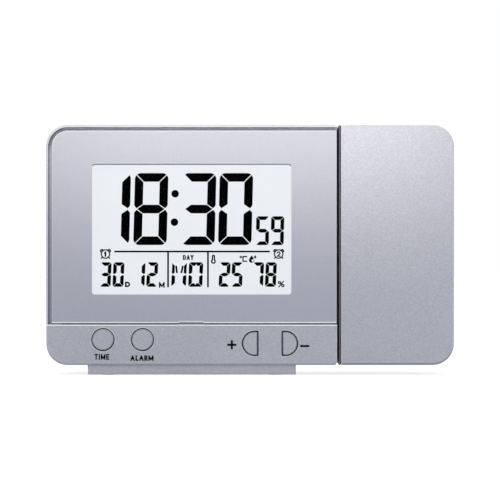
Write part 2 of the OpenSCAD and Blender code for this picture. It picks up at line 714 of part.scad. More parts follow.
module battery_contacts() color("silver") for (c = cells, s = [-1, 1])
    translate([clock_cx + s * (bay_l / 2 - contact_t / 2), cell_y, c[1]]) mirror([s < 0 ? 1 : 0, 0, 0]) {
        bar([-contact_t / 2, -5, -5], [contact_t / 2, 5, 5]);
        if (c[0] == s) rod_x(-contact_t / 2 - 0.2, 0, [0, 0], 6);
    }

// Conical contact spring: turns of round wire from r0 to r1 along the length l
module coil_spring(r0, r1, l, turns, wire) {
    steps = 12 * turns;
    sides = 6;
    pitch = (l - wire) / turns;
    ring = [for (i = [0:steps], j = [0:sides - 1]) let (
        t = i / steps,
        a = 360 * turns * t,
        r = r0 + (r1 - r0) * t + wire / 2 * cos(360 * j / sides),
        x = wire / 2 + pitch * turns * t + wire / 2 * sin(360 * j / sides)
    ) [x, r * cos(a), r * sin(a)]];
    walls = [for (i = [0:steps - 1], j = [0:sides - 1])
        let (a = i * sides + j, b = i * sides + (j + 1) % sides) [a, b, b + sides, a + sides]];
    ends = [[for (j = [sides - 1:-1:0]) j], [for (j = [0:sides - 1]) steps * sides + j]];
    polyhedron(ring, concat(walls, ends));
}

module battery_springs() color("silver") for (c = cells) translate([clock_cx, cell_y, c[1]])
    rotate([0, c[0] < 0 ? 180 : 0, 0])
        translate([-bay_l / 2 + contact_t, 0, 0]) coil_spring(5, 2.8, spring_l + 0.1, 4, 0.7);

module battery_cover() color("silver") {
    box = grow(bay_box, bay_wall - cover_gap);
    tab_w = 14;
    slit = 0.8;
    grip_w = 18;
    mid_z = (bay_z0 + bay_z1) / 2;
    difference() {
        union() {
            along_y(cover_y, back_y) rounded([box[0], hinge_z, box[2], box[3]], [0, 0, 1, 1]);
            rod_x(box[0], box[2], [hinge_y, hinge_z], cover_t);
        }
        // Slits either side of the springy latch, its finger hollow, and grip lines
        for (s = [-1, 1]) translate([clock_cx + s * tab_w / 2, 0, 0])
            bar([-slit / 2, cover_y - cut, box[3] - 7], [slit / 2, back_y + cut, box[3] + cut]);
        translate([clock_cx, back_y + 3.4, box[3] - 5]) sphere(d = 9);
        for (i = [0:4]) translate([clock_cx, back_y, cover_z0 + 7 + i * 1.6])
            bar([-grip_w / 2, -0.4, 0], [grip_w / 2, cut, 0.6]);
    }
    // Stiffening rib between the cells
    bar([bay_x[0] + 6, cover_y - 1.4, mid_z - 0.5], [bay_x[1] - 6, cover_y + touch, mid_z + 0.5]);
    for (s = [-1, 1]) translate([clock_cx + s * tongue_x, 0, hinge_z]) {
        half = tongue_w / 2;
        bar([-half, tongue_y - tongue_t, 0], [half, cover_y + touch, tongue_root]);
        bar([-half, tongue_y - tongue_t, -tongue_reach], [half, tongue_y, tongue_root]);
    }
}

module buzzer() color("goldenrod") {
    rod_y(buzzer_at, back_y - wall - 1.4, back_y - wall - 1.1, buzzer_d);
    rod_y(buzzer_at, back_y - wall - 1.7, back_y - wall - 1.4 + touch, buzzer_d * 0.65);
    difference() {
        rod_y(buzzer_at, back_y - wall - 1.1 - touch, back_y - wall, buzzer_d);
        rod_y(buzzer_at, back_y - wall - 2, back_y - wall + cut, buzzer_d - 3);
    }
}

module sensor_board() color("royalblue") {
    y = back_y - wall - 3.4;
    translate([vent_at[0], y, vent_at[1]]) {
        bar([-vent_w / 2 - 0.5, 0, -6], [vent_w / 2 + 0.5, 1, 6]);
        bar([-2.5, 1 - touch, -2.5], [2.5, 2.2, 2.5]);
    }
}

module dc_jack() color("black") {
    y0 = back_y - wall - jack_l;
    y1 = back_y - wall;
    leg = 2.5;
    difference() {
        union() {
            translate([jack_at[0], 0, jack_at[1]])
                bar([-jack_w / 2, y0, -jack_low], [jack_w / 2, y1, jack_high]);
            rod_y(jack_at, y1 - touch, back_y - 0.3, jack_d);
        }
        rod_y(jack_at, y0 + 1, back_y + cut, jack_bore);
    }
    rod_y(jack_at, y0 + 0.5, back_y - 1, jack_pin);
    for (s = [-1, 1]) translate([jack_at[0] + s * leg, y0, jack_at[1]])
        bar([-0.6, -2.4, -4], [0.6, touch, -3.6]);
}

module case_screws() color("gray") for (p = case_bosses)
    translate([p[0], head_y, p[1]]) screw(screw_d, case_screw_l, head_d, head_t);

module board_screws() color("gray") for (p = board_posts)
    translate([p[0], board_back, p[1]]) screw(small_d, board_t + 3.5, small_head_d, small_head_t);

// ---- Foot ----

module foot() color("silver") difference() {
    intersection() {
        along_x(foot_x[0], foot_x[1]) polygon([
            [foot_y[0], pad_proud], [foot_y[1], pad_proud], [foot_y[1], pad_proud + foot_rear_t],
            [back_y, floor_z], [foot_y[0], floor_z]]);
        along_z(0, floor_z + cut) rounded([foot_x[0], foot_y[0], foot_x[1], foot_y[1]], [1, 1, 6, 6]);
        along_y(foot_y[0] - cut, foot_y[1] + cut) polygon([
            [foot_x[0] + foot_lean, pad_proud], [foot_x[1], pad_proud],
            [foot_x[1], floor_z], [foot_x[0], floor_z]]);
    }
    // Hollows under the foot leave ribs around the pads and the screws
    for (i = [0:2]) {
        rib = 6;
        span = (foot_w - 2 * (pad_d + rib)) / 3;
        x = foot_x[0] + pad_d + rib + i * span;
        along_z(pad_proud - cut, floor_z - foot_skin) rounded(
            [x + 0.8, foot_y[0] + 2, x + span - 0.8, foot_screw_y - head_d], [1, 1, 1, 1]);
    }
    for (p = pads) rod_z(p, 0, pad_proud + pad_sunk, pad_d + 0.2);
    for (x = foot_screws_x) {
        rod_z([x, foot_screw_y], 0, floor_z + cut, screw_d + 0.4);
        rod_z([x, foot_screw_y], 0, foot_seat_z, head_d + 0.6);
    }
}

pads = [for (x = [foot_x[0] + pad_d / 2 + 3.5, foot_x[1] - pad_d / 2 - 3.5],
    y = [foot_y[0] + pad_d / 2 + 2, foot_y[1] - pad_d / 2 - 3.5]) [x, y]];

module foot_pads() color("dimgray") for (p = pads) rod_z(p, 0, pad_proud + pad_sunk, pad_d);

module foot_screws() color("gray") for (x = foot_screws_x)
    translate([x, foot_screw_y, foot_seat_z]) rotate([-90, 0, 0])
        screw(screw_d, foot_screw_l, head_d, foot_head_t);

// ---- Pivot ----

module pivot_tube() color("dimgray") difference() {
    union() {
        rod_x(pivot_flange_x, pivot_end_x, [mid_y, pivot_z], pivot_d);
        rod_x(pivot_flange_x, pivot_flange_x + pivot_flange_t, [mid_y, pivot_z], pivot_flange_d);
        bar([pivot_flange_x, mid_y + pivot_d / 2, pivot_z - stop_w],
            [pivot_flange_x + pivot_flange_t, mid_y + stop_r + stop_reach / 2, pivot_z + stop_w]);
    }
    rod_x(pivot_flange_x - cut, pivot_end_x + cut, [mid_y, pivot_z], pivot_bore);
    // Flats that key it to the side cap
    for (s = [-1, 1]) bar(
        [block_x0 - touch, mid_y - pivot_d, pivot_z + (s > 0 ? pivot_d / 2 - pivot_flat : -pivot_d)],
        [pivot_end_x + cut, mid_y + pivot_d, pivot_z + (s > 0 ? pivot_d : pivot_flat - pivot_d / 2)]);
    difference() {
        rod_x(clip_x - touch, clip_x + clip_t + touch, [mid_y, pivot_z], pivot_d + 2);
        rod_x(clip_x - cut, clip_x + clip_t + cut, [mid_y, pivot_z], pivot_d - 2);
    }
}

module pivot_washer() color("gray") difference() {
    rod_x(clock_x1 - wall - washer_t, clock_x1 - wall, [mid_y, pivot_z], pivot_flange_d - 0.5);
    rod_x(clock_x1 - wall - washer_t - cut, clock_x1, [mid_y, pivot_z], pivot_d + 4 * fit_gap);
}

module pivot_clip() color("silver") difference() {
    rod_x(clip_x, clip_x + clip_t, [mid_y, pivot_z], pivot_d + 4);
    rod_x(clip_x - cut, clip_x + clip_t + cut, [mid_y, pivot_z], pivot_d - 2 + 2 * fit_gap);
    translate([clip_x, mid_y, pivot_z])
        bar([-cut, -pivot_d, 3 - pivot_d / 2], [clip_t + cut, -touch, pivot_d / 2 - 3]);
}

// ---- Projector housing ----

block_box = [shell_x0, floor_z, right_x, top_z];
block_r = [0, corner_r, corner_r, 0];
block_inner = [shell_x0 - cut, floor_z + wall, right_x - wall, top_z - wall];
block_inner_r = [0, corner_r - wall, corner_r - wall, 0];
block_edge_r = 1;

// Outline of the turning block seen along the pivot, d inside its surface
module end_shape(d) rounded([front_y + d, floor_z + d, back_y - d, top_z - d],
    [block_edge_r, back_edge_r, back_edge_r, block_edge_r]);

module side_cap() color("silver") difference() {
    union() {
        along_x(block_x0, block_x0 + cap_rim) end_shape(0);
        along_x(block_x0 + cap_rim - touch, shell_x0) end_shape(cap_sunk);
        along_x(shell_x0 - touch, cap_x1) end_shape(wall + 0.1);
    }
    intersection() {
        rod_x(block_x0 - cut, cap_x1 + cut, [mid_y, pivot_z], pivot_d + 2 * fit_gap);
        bar([block_x0 - cut, mid_y - pivot_d, pivot_z - pivot_d / 2 + pivot_flat - fit_gap],
            [cap_x1 + cut, mid_y + pivot_d, pivot_z + pivot_d / 2 - pivot_flat + fit_gap]);
    }
    for (p = block_bosses) rod_y(p, front_y, back_y, boss_d + 2.6);
}

module projector_front_shell() color("silver") difference() {
    union() {
        difference() {
            soft_slab(block_box, block_r, front_y, mid_y, block_edge_r, reveal, left = false);
            along_y(front_y + wall, mid_y + cut) rounded(block_inner, block_inner_r);
        }
        for (p = block_bosses) rod_y(p, front_y + wall / 2, mid_y, boss_d);
    }
    for (p = block_bosses) rod_y(p, mid_y - 9, mid_y + cut, screw_d + 2 * touch);
    for (p = wing_holes) rod_y(p, front_y + wall - 1.2, mid_y, small_d + 2 * touch);
    lens_seat();
    rod_z([lens_x, lens_y], wheel_z0 - wheel_gap, wheel_z1 + wheel_gap, wheel_d + 2 * wheel_gap);
}

module lens_seat() {
    rod_z([lens_x, lens_y], top_z - wall - cut, top_z + cut, tube_d + 0.2);
    rod_z([lens_x, lens_y], top_z - ring_t, top_z + cut, ring_d + 0.2);
}

module projector_rear_shell() color("silver") difference() {
    union() {
        difference() {
            soft_slab(block_box, block_r, mid_y, back_y, reveal, back_edge_r, left = false);
            along_y(mid_y - cut, back_y - wall) rounded(block_inner, block_inner_r);
        }
        for (p = block_bosses) rod_y(p, mid_y, back_y - wall + touch, boss_d + 2);
        for (p = small_posts) rod_y(p, small_board_back, back_y - wall + touch, board_post_d);
    }
    for (p = block_bosses) {
        rod_y(p, mid_y - cut, back_y, screw_d + 0.5);
        rod_y(p, head_y, back_y + cut, head_d + 0.6);
    }
    for (p = small_posts) rod_y(p, small_board_back - cut, small_board_back + 4, small_d + 2 * touch);
    lens_seat();
    translate([lens_x, back_y, 0]) bar([-wheel_slot / 2, -wall - cut, wheel_z0 - wheel_gap],
        [wheel_slot / 2, cut, wheel_z1 + wheel_gap]);
    along_y(back_y - wall - cut, back_y + cut) translate(slot_at) {
        half_w = knob_w / 2 + switch_travel + 0.3;
        half_h = knob_h / 2 + 0.2;
        rounded([-half_w, -half_h, half_w, half_h], [1, 1, 1, 1] * 0.5);
    }
}

wheel_slot = 2 * sqrt(pow(wheel_d / 2, 2) - pow(wheel_d / 2 - wheel_proud - wall, 2)) + 1;

module lens_ring() color("black") difference() {
    union() {
        rod_z([lens_x, lens_y], top_z - ring_t, top_z, ring_d);
        rod_z([lens_x, lens_y], top_z - sleeve_l, top_z - ring_t + touch, tube_d);
    }
    bore = barrel_d + 2 * fit_gap;
    flare = 1.6;
    rod_z([lens_x, lens_y], top_z - sleeve_l - cut, top_z + cut, bore);
    translate([lens_x, lens_y, top_z - flare]) cylinder(h = flare + touch, d1 = bore, d2 = barrel_d + 3);
}

module focus_wheel() color("dimgray") difference() {
    rod_z([lens_x, lens_y], wheel_z0, wheel_z1, wheel_d);
    rod_z([lens_x, lens_y], wheel_z0 - cut, wheel_z1 + cut, barrel_d + 2 * fit_gap);
    for (i = [0:29]) translate([lens_x, lens_y, 0]) rotate(i * 12)
        rod_z([wheel_d / 2 + 0.2, 0], wheel_z0 - cut, wheel_z1 + cut, 1.3);
}

module lens_barrel() color("black") translate([lens_x, lens_y, barrel_z1]) difference() {
    mouth_d = barrel_d - 2.2;
    rod_z([0, 0], -barrel_l, 0, barrel_d);
    rod_z([0, 0], -barrel_l - cut, -barrel_stop, barrel_d - 3.4);
    rod_z([0, 0], -barrel_stop - cut, -lens_sunk, barrel_d - 5);
    rod_z([0, 0], -lens_sunk, cut, mouth_d);
    translate([0, 0, -0.8]) cylinder(h = 0.8 + touch, d1 = mouth_d, d2 = barrel_d - 0.8);
}

// Lens with one curved face over a rim, seated at z
module plano_lens(d, rim, rise, z) {
    r = (d * d / 4 + rise * rise) / (2 * rise);
    translate([lens_x, lens_y, z]) rotate_extrude() {
        square([d / 2, rim]);
        intersection() {
            translate([0, rim + rise - r]) circle(r);
            square([d / 2, rim + rise]);
        }
    }
}

module objective_lens() color([0.8, 0.85, 0.95, 0.4])
    plano_lens(barrel_d - 2.4, 2, 2, barrel_z1 - lens_sunk);

module condenser_lens() color([0.85, 0.9, 0.95, 0.4])
    plano_lens(barrel_d - 0.2, 1.6, condenser_t - 1.7, condenser_z);

module slide_frame() color("black") difference() {
    rod_z([lens_x, lens_y], slide_z, slide_z + slide_t, barrel_d);
    bar([lens_x - slide_w / 2 - 0.1, lens_y - slide_w / 2 - 0.1, slide_z + 0.6],
        [lens_x + slide_w / 2 + 0.1, lens_y + slide_w / 2 + 0.1, slide_z + slide_t + cut]);
    rod_z([lens_x, lens_y], slide_z - cut, slide_z + 1, slide_w - 1);
}

module projection_lcd() color([0.3, 0.35, 0.4, 0.8]) bar(
    [lens_x - slide_w / 2, lens_y - slide_w / 2, slide_z + 0.6],
    [lens_x + slide_w / 2, lens_y + slide_w / 2, slide_z + slide_t]);

wing_holes = [for (s = [-1, 1]) [lens_x + s * (wing_w / 2 - 2.4), (wing_z[0] + wing_z[1]) / 2]];

module optical_tube() color("black") difference() {
    union() {
        rod_z([lens_x, lens_y], tube_z0, tube_z1, tube_d);
        translate([lens_x, front_y + wall, 0]) {
            bar([-wing_w / 2, 0, wing_z[0]], [wing_w / 2, wing_t, wing_z[1]]);
            bar([-tube_d / 3, 0, wing_z[0]], [tube_d / 3, lens_y - front_y - wall, wing_z[1]]);
        }
    }
    rod_z([lens_x, lens_y], tube_z0 - cut, condenser_z, barrel_d - 2.4);
    rod_z([lens_x, lens_y], condenser_z, tube_z1 + cut, barrel_d + 2 * fit_gap);
    rod_z([lens_x, lens_y], tube_z0 - cut, tube_z0 + lamp_board_t, barrel_d + 0.2);
    for (p = wing_holes) rod_y(p, front_y, mid_y, 2.2);
}

module lamp_board() color("white") {
    rod_z([lens_x, lens_y], tube_z0, tube_z0 + lamp_board_t, barrel_d);
    rod_z([lens_x, lens_y], tube_z0 + lamp_board_t - touch, tube_z0 + lamp_board_t + 1, 5.6);
    rod_z([lens_x, lens_y], tube_z0 + lamp_board_t + 1 - touch, tube_z0 + lamp_board_t + 3.5, 5);
    translate([lens_x, lens_y, tube_z0 + lamp_board_t + 3.5]) sphere(d = 5);
}

module projector_board() color("seagreen") difference() {
    union() {
        along_y(small_board_y, small_board_back) rounded(
            [small_board_x[0], small_board_z[0], small_board_x[1], small_board_z[1]], [1, 1, 1, 0]);
        along_y(small_board_y, small_board_back) rounded(
            [small_board_x[0], small_board_z[1] - 2, small_board_x[0] + arm_w, pivot_z + 4], [0, 0, 1, 1]);
    }
    for (p = small_posts) rod_y(p, small_board_y - cut, small_board_back + cut, small_hole_d);
}

module projector_socket() color("ivory") translate([socket_x, mid_y, pivot_z]) difference() {
    bar([0, -2, -socket_h / 2], [socket_w, small_board_y - mid_y, socket_h / 2]);
    bar([-cut, -1.3, -1.3], [1, 1.3, 1.3]);
}

module switch_body() color("silver") translate([slot_at[0], back_y - wall, slot_at[1]]) difference() {
    bar([-5.5, small_board_back - back_y + wall, -2.8], [5.5, -0.3, 2.8]);
    bar([-4, -2.3, -1.2], [4, cut, 1.2]);
}

module switch_knob() color("black") translate([slot_at[0], back_y, slot_at[1]]) difference() {
    union() {
        bar([-1.5, -wall - 2, -1], [1.5, touch - wall, 1]);
        bar([-knob_w / 2, -wall, -knob_h / 2], [knob_w / 2, knob_proud, knob_h / 2]);
    }
    for (i = [-1:1]) translate([i * 1.3, knob_proud, 0]) bar([-0.3, -0.35, -knob_h], [0.3, cut, knob_h]);
}

module projector_screws() color("gray") for (p = block_bosses)
    translate([p[0], head_y, p[1]]) screw(screw_d, case_screw_l, head_d, head_t);

module projector_inner_screws() color("gray") {
    for (p = small_posts) translate([p[0], small_board_y, p[1]]) rotate([180, 0, 0])
        screw(small_d, board_t + 3.5, small_head_d, small_head_t);
    for (p = wing_holes) translate([p[0], front_y + wall + wing_t, p[1]])
        screw(small_d, wing_t + 1, small_head_d, small_head_t);
}

front_case();
front_panel();
lcd_window();
lcd_glass();
light_guide();
lcd_holder();
contact_strip();
main_board();
clock_chip();
quartz_crystal();
backlight_leds();
tact_switches();
cable_socket();
projector_cable();
rear_case();
battery_contacts();
battery_springs();
battery_cells();
battery_cover();
buzzer();
sensor_board();
dc_jack();
case_screws();
board_screws();
foot();
foot_screws();
foot_pads();
pivot_washer();
time_button();
time_plunger();
alarm_button();
alarm_plunger();
plus_button();
plus_plunger();
minus_button();
minus_plunger();
snooze_bar();
snooze_plunger();
projector_front_shell();
projector_rear_shell();
side_cap();
pivot_tube();
pivot_clip();
optical_tube();
lens_ring();
focus_wheel();
lens_barrel();
objective_lens();
slide_frame();
projection_lcd();
condenser_lens();
lamp_board();
projector_board();
projector_socket();
switch_body();
switch_knob();
projector_screws();
projector_inner_screws();
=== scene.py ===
import json
import math

import bmesh
import bpy
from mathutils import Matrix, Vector


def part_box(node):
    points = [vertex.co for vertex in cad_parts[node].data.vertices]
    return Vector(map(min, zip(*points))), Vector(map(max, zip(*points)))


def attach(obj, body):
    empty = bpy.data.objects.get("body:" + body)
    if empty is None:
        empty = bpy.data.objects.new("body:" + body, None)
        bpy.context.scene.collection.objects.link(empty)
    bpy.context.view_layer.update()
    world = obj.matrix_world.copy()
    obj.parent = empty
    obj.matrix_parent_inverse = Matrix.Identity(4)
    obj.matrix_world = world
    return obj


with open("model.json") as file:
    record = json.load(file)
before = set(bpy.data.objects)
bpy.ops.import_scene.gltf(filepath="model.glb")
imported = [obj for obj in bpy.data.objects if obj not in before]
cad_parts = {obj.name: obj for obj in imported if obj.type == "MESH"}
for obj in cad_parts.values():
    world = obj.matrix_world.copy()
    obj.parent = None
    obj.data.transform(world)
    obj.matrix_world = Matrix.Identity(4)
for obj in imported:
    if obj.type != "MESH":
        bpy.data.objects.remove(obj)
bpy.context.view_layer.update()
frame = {"nodes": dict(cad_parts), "record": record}
nodes = frame["nodes"]
mm = 0.001  # sizes and places are in millimetres where nothing else is said


def boxOf(name):
    # both corners of a CAD node's box, in millimetres
    return [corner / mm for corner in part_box(name)]


def addNode(tree, kind, sockets=None, **settings):
    node = tree.nodes.new("ShaderNode" + kind)
    for name, value in settings.items():
        setattr(node, name, value)
    for socket, source in (sockets or {}).items():
        if isinstance(source, bpy.types.NodeSocket):
            tree.links.new(source, node.inputs[socket])
        else:
            node.inputs[socket].default_value = source
    return node


def mixColors(tree, factor, first, second, blend="MIX"):
    # a Mix node takes its two colours at 6 and 7, and gives the mixed one at 2
    node = addNode(tree, "Mix", {0: factor, 6: first, 7: second}, data_type="RGBA", blend_type=blend)
    return node.outputs[2]


def calculate(tree, operation, first, second=0.0):
    return addNode(tree, "Math", {0: first, 1: second}, operation=operation).outputs[0]


def mapRange(tree, value, source=(0.0, 1.0), target=(0.0, 1.0)):
    node = addNode(tree, "MapRange", {"Value": value, "From Min": source[0], "From Max": source[1],
                                      "To Min": target[0], "To Max": target[1]})
    return node.outputs[0]


def objectPlace(tree):
    return addNode(tree, "TexCoord").outputs["Object"]


def axesOf(tree, vector):
    return addNode(tree, "SeparateXYZ", {0: vector}).outputs


def between(tree, value, low, high):
    # one where the value lies between two levels, and nought elsewhere
    above = calculate(tree, "GREATER_THAN", value, low * mm)
    below = calculate(tree, "LESS_THAN", value, high * mm)
    return calculate(tree, "MULTIPLY", above, below)


def distanceFrom(tree, value, level):
    return calculate(tree, "ABSOLUTE", calculate(tree, "SUBTRACT", value, level * mm))


def newGroup(name, inputs, outputs):
    tree = bpy.data.node_groups.new(name, "ShaderNodeTree")
    for label, value in inputs.items():
        socket = tree.interface.new_socket(label, in_out="INPUT", socket_type="NodeSocketFloat")
        socket.default_value = value
    for label in outputs:
        tree.interface.new_socket(label, in_out="OUTPUT", socket_type="NodeSocketFloat")
    return tree, tree.nodes.new("NodeGroupInput").outputs, tree.nodes.new("NodeGroupOutput").inputs


def placeGroup(tree, group, values=None):
    return addNode(tree, "Group", values, node_tree=group).outputs


def patternScale(tree, size):
    # the texture scale at which a pattern comes out in this size
    return calculate(tree, "DIVIDE", 1 / mm, size)


def contrasted(tree, value, contrast, mean=0.5):
    # lessens how far a value strays from its mean, and centres it on a half
    spread = calculate(tree, "SUBTRACT", value, mean)
    return calculate(tree, "ADD", calculate(tree, "MULTIPLY", spread, contrast), 0.5)


def buildGrain():
    # the fine texture that a moulded or painted surface takes from its tool
    tree, given, result = newGroup("mouldGrain", {"Size": 0.4, "Contrast": 0.3}, ("Speckle", "Height"))
    fine = addNode(tree, "TexNoise", {"Vector": objectPlace(tree), "Scale": patternScale(tree, given["Size"]),
                                      "Detail": 3.0, "Roughness": 0.6}).outputs["Fac"]
    tree.links.new(contrasted(tree, fine, given["Contrast"]), result["Speckle"])
    tree.links.new(fine, result["Height"])
    return tree


def buildFlake():
    # metal flake under the lacquer: each cell leans its own way, and its tone is a painted glint for how it
    # catches the light
    tree, given, result = newGroup("paintFlake", {"Size": 0.25, "Contrast": 0.2}, ("Glint",))
    cells = addNode(tree, "TexVoronoi", {"Vector": objectPlace(tree),
                                         "Scale": patternScale(tree, given["Size"])})
    tone = addNode(tree, "SeparateColor", {0: cells.outputs["Color"]}).outputs[0]
    tree.links.new(contrasted(tree, tone, given["Contrast"]), result["Glint"])
    return tree


def buildCrossBrush():
    # two brushing passes at right angles across a front-facing sheet
    tree, given, result = newGroup("crossBrush", {"Pitch": 0.5, "Length": 6.0, "Contrast": 0.25},
                                   ("Sheen", "Height"))
    place = objectPlace(tree)
    across = patternScale(tree, given["Pitch"])
    along = patternScale(tree, given["Length"])
    passes = []
    for scales in ((across, along, along), (along, along, across)):
        stretch = addNode(tree, "CombineXYZ", dict(enumerate(scales)))
        spot = addNode(tree, "VectorMath", {0: place, 1: stretch.outputs[0]}, operation="MULTIPLY")
        hair = addNode(tree, "TexNoise", {"Vector": spot.outputs[0], "Scale": 1.0, "Detail": 2.0})
        passes.append(hair.outputs["Fac"])
    both = calculate(tree, "ADD", *passes)
    tree.links.new(contrasted(tree, both, given["Contrast"], mean=1.0), result["Sheen"])
    tree.links.new(calculate(tree, "MULTIPLY", both, 0.5), result["Height"])
    return tree


def buildSmudgeAndPaintedLight():
    # faint smudges from hands, a painted highlight on edges, and painted shade in gaps and grooves
    look = dict(smudge=(0.35, 0.7), edge=(0.995, 0.88), risen=0.25, upright=0.3, openness=(0.85, 0.4))
    tree, given, result = newGroup("smudgeAndPaintedLight", {"Smudge Size": 14.0, "Edge Width": 0.3, "Gap Width": 1.5},
                                   ("Smudge", "Edge", "PaintedHighlight", "GapShade"))
    cloud = addNode(tree, "TexNoise", {"Vector": objectPlace(tree), "Detail": 4.0, "Roughness": 0.65,
                                       "Scale": patternScale(tree, given["Smudge Size"])})
    tree.links.new(mapRange(tree, cloud.outputs["Fac"], look["smudge"]), result["Smudge"])
    radius = calculate(tree, "MULTIPLY", given["Edge Width"], mm)
    rounded = addNode(tree, "Bevel", {"Radius": radius}, samples=4).outputs[0]
    flat = addNode(tree, "NewGeometry").outputs["Normal"]
    turn = addNode(tree, "VectorMath", {0: rounded, 1: flat}, operation="DOT_PRODUCT").outputs["Value"]
    edge = mapRange(tree, turn, look["edge"])
    tree.links.new(edge, result["Edge"])
    # painted highlight: stronger on edges that face up or down than on upright ones
    rise = calculate(tree, "ABSOLUTE", axesOf(tree, rounded)[2])
    highlightByFacing = mapRange(tree, rise, (0.0, look["risen"]), (look["upright"], 1.0))
    tree.links.new(calculate(tree, "MULTIPLY", edge, highlightByFacing), result["PaintedHighlight"])
    # painted shade: ambient occlusion within the gap width darkens gaps and grooves
    reach = calculate(tree, "MULTIPLY", given["Gap Width"], mm)
    openness = addNode(tree, "AmbientOcclusion", {"Distance": reach}, samples=6).outputs["AO"]
    tree.links.new(mapRange(tree, openness, look["openness"]), result["GapShade"])
    return tree


grain = buildGrain()
flake = buildFlake()
crossBrush = buildCrossBrush()
smudgeAndPaintedLight = buildSmudgeAndPaintedLight()
print("shared effects built")


def newMaterial(name):
    material = bpy.data.materials.new(name)
    material.use_nodes = True
    tree = material.node_tree
    return material, tree, tree.nodes["Principled BSDF"]


def tint(color, factor):
    return tuple(min(1.0, part * factor) for part in color) + (1.0,)


def varied(tree, factor, color, spread):
    # runs from a darker to a lighter tone of one colour
    return mixColors(tree, factor, tint(color, spread[0]), tint(color, spread[1]))


def setRoughness(tree, shader, value, roughness, spread, source=(0.0, 1.0)):
    # the roughness strays from the given one by as much as the spread says
    shine = mapRange(tree, value, source, (roughness + spread[0], roughness + spread[1]))
    tree.links.new(shine, shader.inputs["Roughness"])


def setBump(tree, shader, height, depth):
    bump = addNode(tree, "Bump", {"Height": height, "Distance": depth * mm, "Strength": 1.0})
    tree.links.new(bump.outputs[0], shader.inputs["Normal"])


def setMetallic(tree, shader, paintedEdgeLight, metallic):
    # the mask of painted edge light also raises the metallic along the edges
    highlightMetallic = 0.85
    tree.links.new(mapRange(tree, paintedEdgeLight, target=(metallic, highlightMetallic)), shader.inputs["Metallic"])


def seamHighlightBand(tree, low, high):
    # a painted highlight along the rolled rim beside a seam, between two heights on the front
    rimDepth = 0.6
    place = axesOf(tree, objectPlace(tree))
    rimBack = boxOf("front_panel")[0].y + rimDepth
    front = calculate(tree, "LESS_THAN", place[1], rimBack * mm)
    return calculate(tree, "MULTIPLY", between(tree, place[2], low, high), front)


def lessDark(tree, gapShade, lessShadeMask, kept):
    # within the mask, only a share of the painted gap shade is kept
    return calculate(tree, "MULTIPLY", gapShade, mapRange(tree, lessShadeMask, target=(1.0, kept)))


def easeGrooveShade(tree, gapShade):
    # painted gap shade is lessened on the inner side of the groove's upright run
    groove = dict(inner=(0.9, 1.4), width=6.0, fade=(5.0, 9.0), kept=0.35)
    left = boxOf("front_case")[0].x
    top = boxOf("front_panel")[1].z
    place = axesOf(tree, objectPlace(tree))
    inner = mapRange(tree, place[0], [(left + x) * mm for x in groove["inner"]])
    near = calculate(tree, "LESS_THAN", place[0], (left + groove["width"]) * mm)
    upright = mapRange(tree, place[2], [(top - z) * mm for z in groove["fade"]])
    lessShadeMask = calculate(tree, "MULTIPLY", calculate(tree, "MULTIPLY", inner, near), upright)
    return lessDark(tree, gapShade, lessShadeMask, groove["kept"])


def easeNotchShade(tree, gapShade):
    # painted gap shade is also lessened on the floor of the shallow prising notch
    notch = dict(halfWidth=4.6, below=0.3, above=0.7, kept=0.5)
    lo, hi = boxOf("front_case")
    foot = boxOf("front_panel")[0].z
    place = axesOf(tree, objectPlace(tree))
    middle = (lo.x + hi.x) / 2
    near = between(tree, place[0], middle - notch["halfWidth"], middle + notch["halfWidth"])
    level = between(tree, place[2], foot - notch["below"], foot + notch["above"])
    return lessDark(tree, gapShade, calculate(tree, "MULTIPLY", near, level), notch["kept"])


def shadeGaps(tree, tone, gapShade):
    # light that bounces about in a shallow groove turns bluish, and a deep gap is nearly black
    shades = dict(open=(1.0, 1.0, 1.0, 1.0), shallow=(0.72, 0.7, 0.86, 1.0), deep=(0.03, 0.03, 0.045, 1.0))
    ramp = addNode(tree, "ValToRGB", {0: gapShade})
    stops = ramp.color_ramp.elements
    stops[0].color = shades["open"]
    stops.new(0.5).color = shades["shallow"]
    stops[2].color = shades["deep"]
    return mixColors(tree, 1.0, tone, ramp.outputs[0], blend="MULTIPLY")


def silverPaint(name, color, edge, edgeWidth, edgeWearAndPaintedLight="PaintedHighlight", rim=None):
    look = dict(metallic=0.25, roughness=0.5, smudge=(-0.03, 0.06), grain=0.45, grainContrast=0.5, bump=0.012,
                flake=0.3, flakeContrast=0.8, spread=(0.86, 1.14), downward=(-0.05, -0.32), undersideShade=0.6)
    material, tree, shader = newMaterial(name)
    paint = placeGroup(tree, flake, {"Size": look["flake"], "Contrast": look["flakeContrast"]})
    skin = placeGroup(tree, grain, {"Size": look["grain"], "Contrast": look["grainContrast"]})
    marksAndLight = placeGroup(tree, smudgeAndPaintedLight, {"Edge Width": edgeWidth})
    tone = varied(tree, paint["Glint"], color, look["spread"])
    # painted shade: surfaces that face down get a darker tone
    facing = axesOf(tree, addNode(tree, "NewGeometry").outputs["Normal"])[2]
    below = mapRange(tree, facing, look["downward"])
    tone = mixColors(tree, below, tone, tint(color, look["undersideShade"]))
    paintedEdgeLight = marksAndLight[edgeWearAndPaintedLight]
    gapShade = marksAndLight["GapShade"]
    # on the case, a painted highlight along the seam's rim, and less painted shade in the groove and the
    # notch
    if rim:
        paintedEdgeLight = calculate(tree, "MAXIMUM", paintedEdgeLight, seamHighlightBand(tree, *rim))
        gapShade = easeNotchShade(tree, easeGrooveShade(tree, gapShade))
    # the edge colour is painted onto the edges: a painted highlight, and on the keys and cap painted shade
    edged = mixColors(tree, paintedEdgeLight, tone, edge + (1.0,))
    tree.links.new(shadeGaps(tree, edged, gapShade), shader.inputs["Base Color"])
    setRoughness(tree, shader, marksAndLight["Smudge"], look["roughness"], look["smudge"])
    setMetallic(tree, shader, paintedEdgeLight, look["metallic"])
    setBump(tree, shader, skin["Height"], look["bump"])
    return material


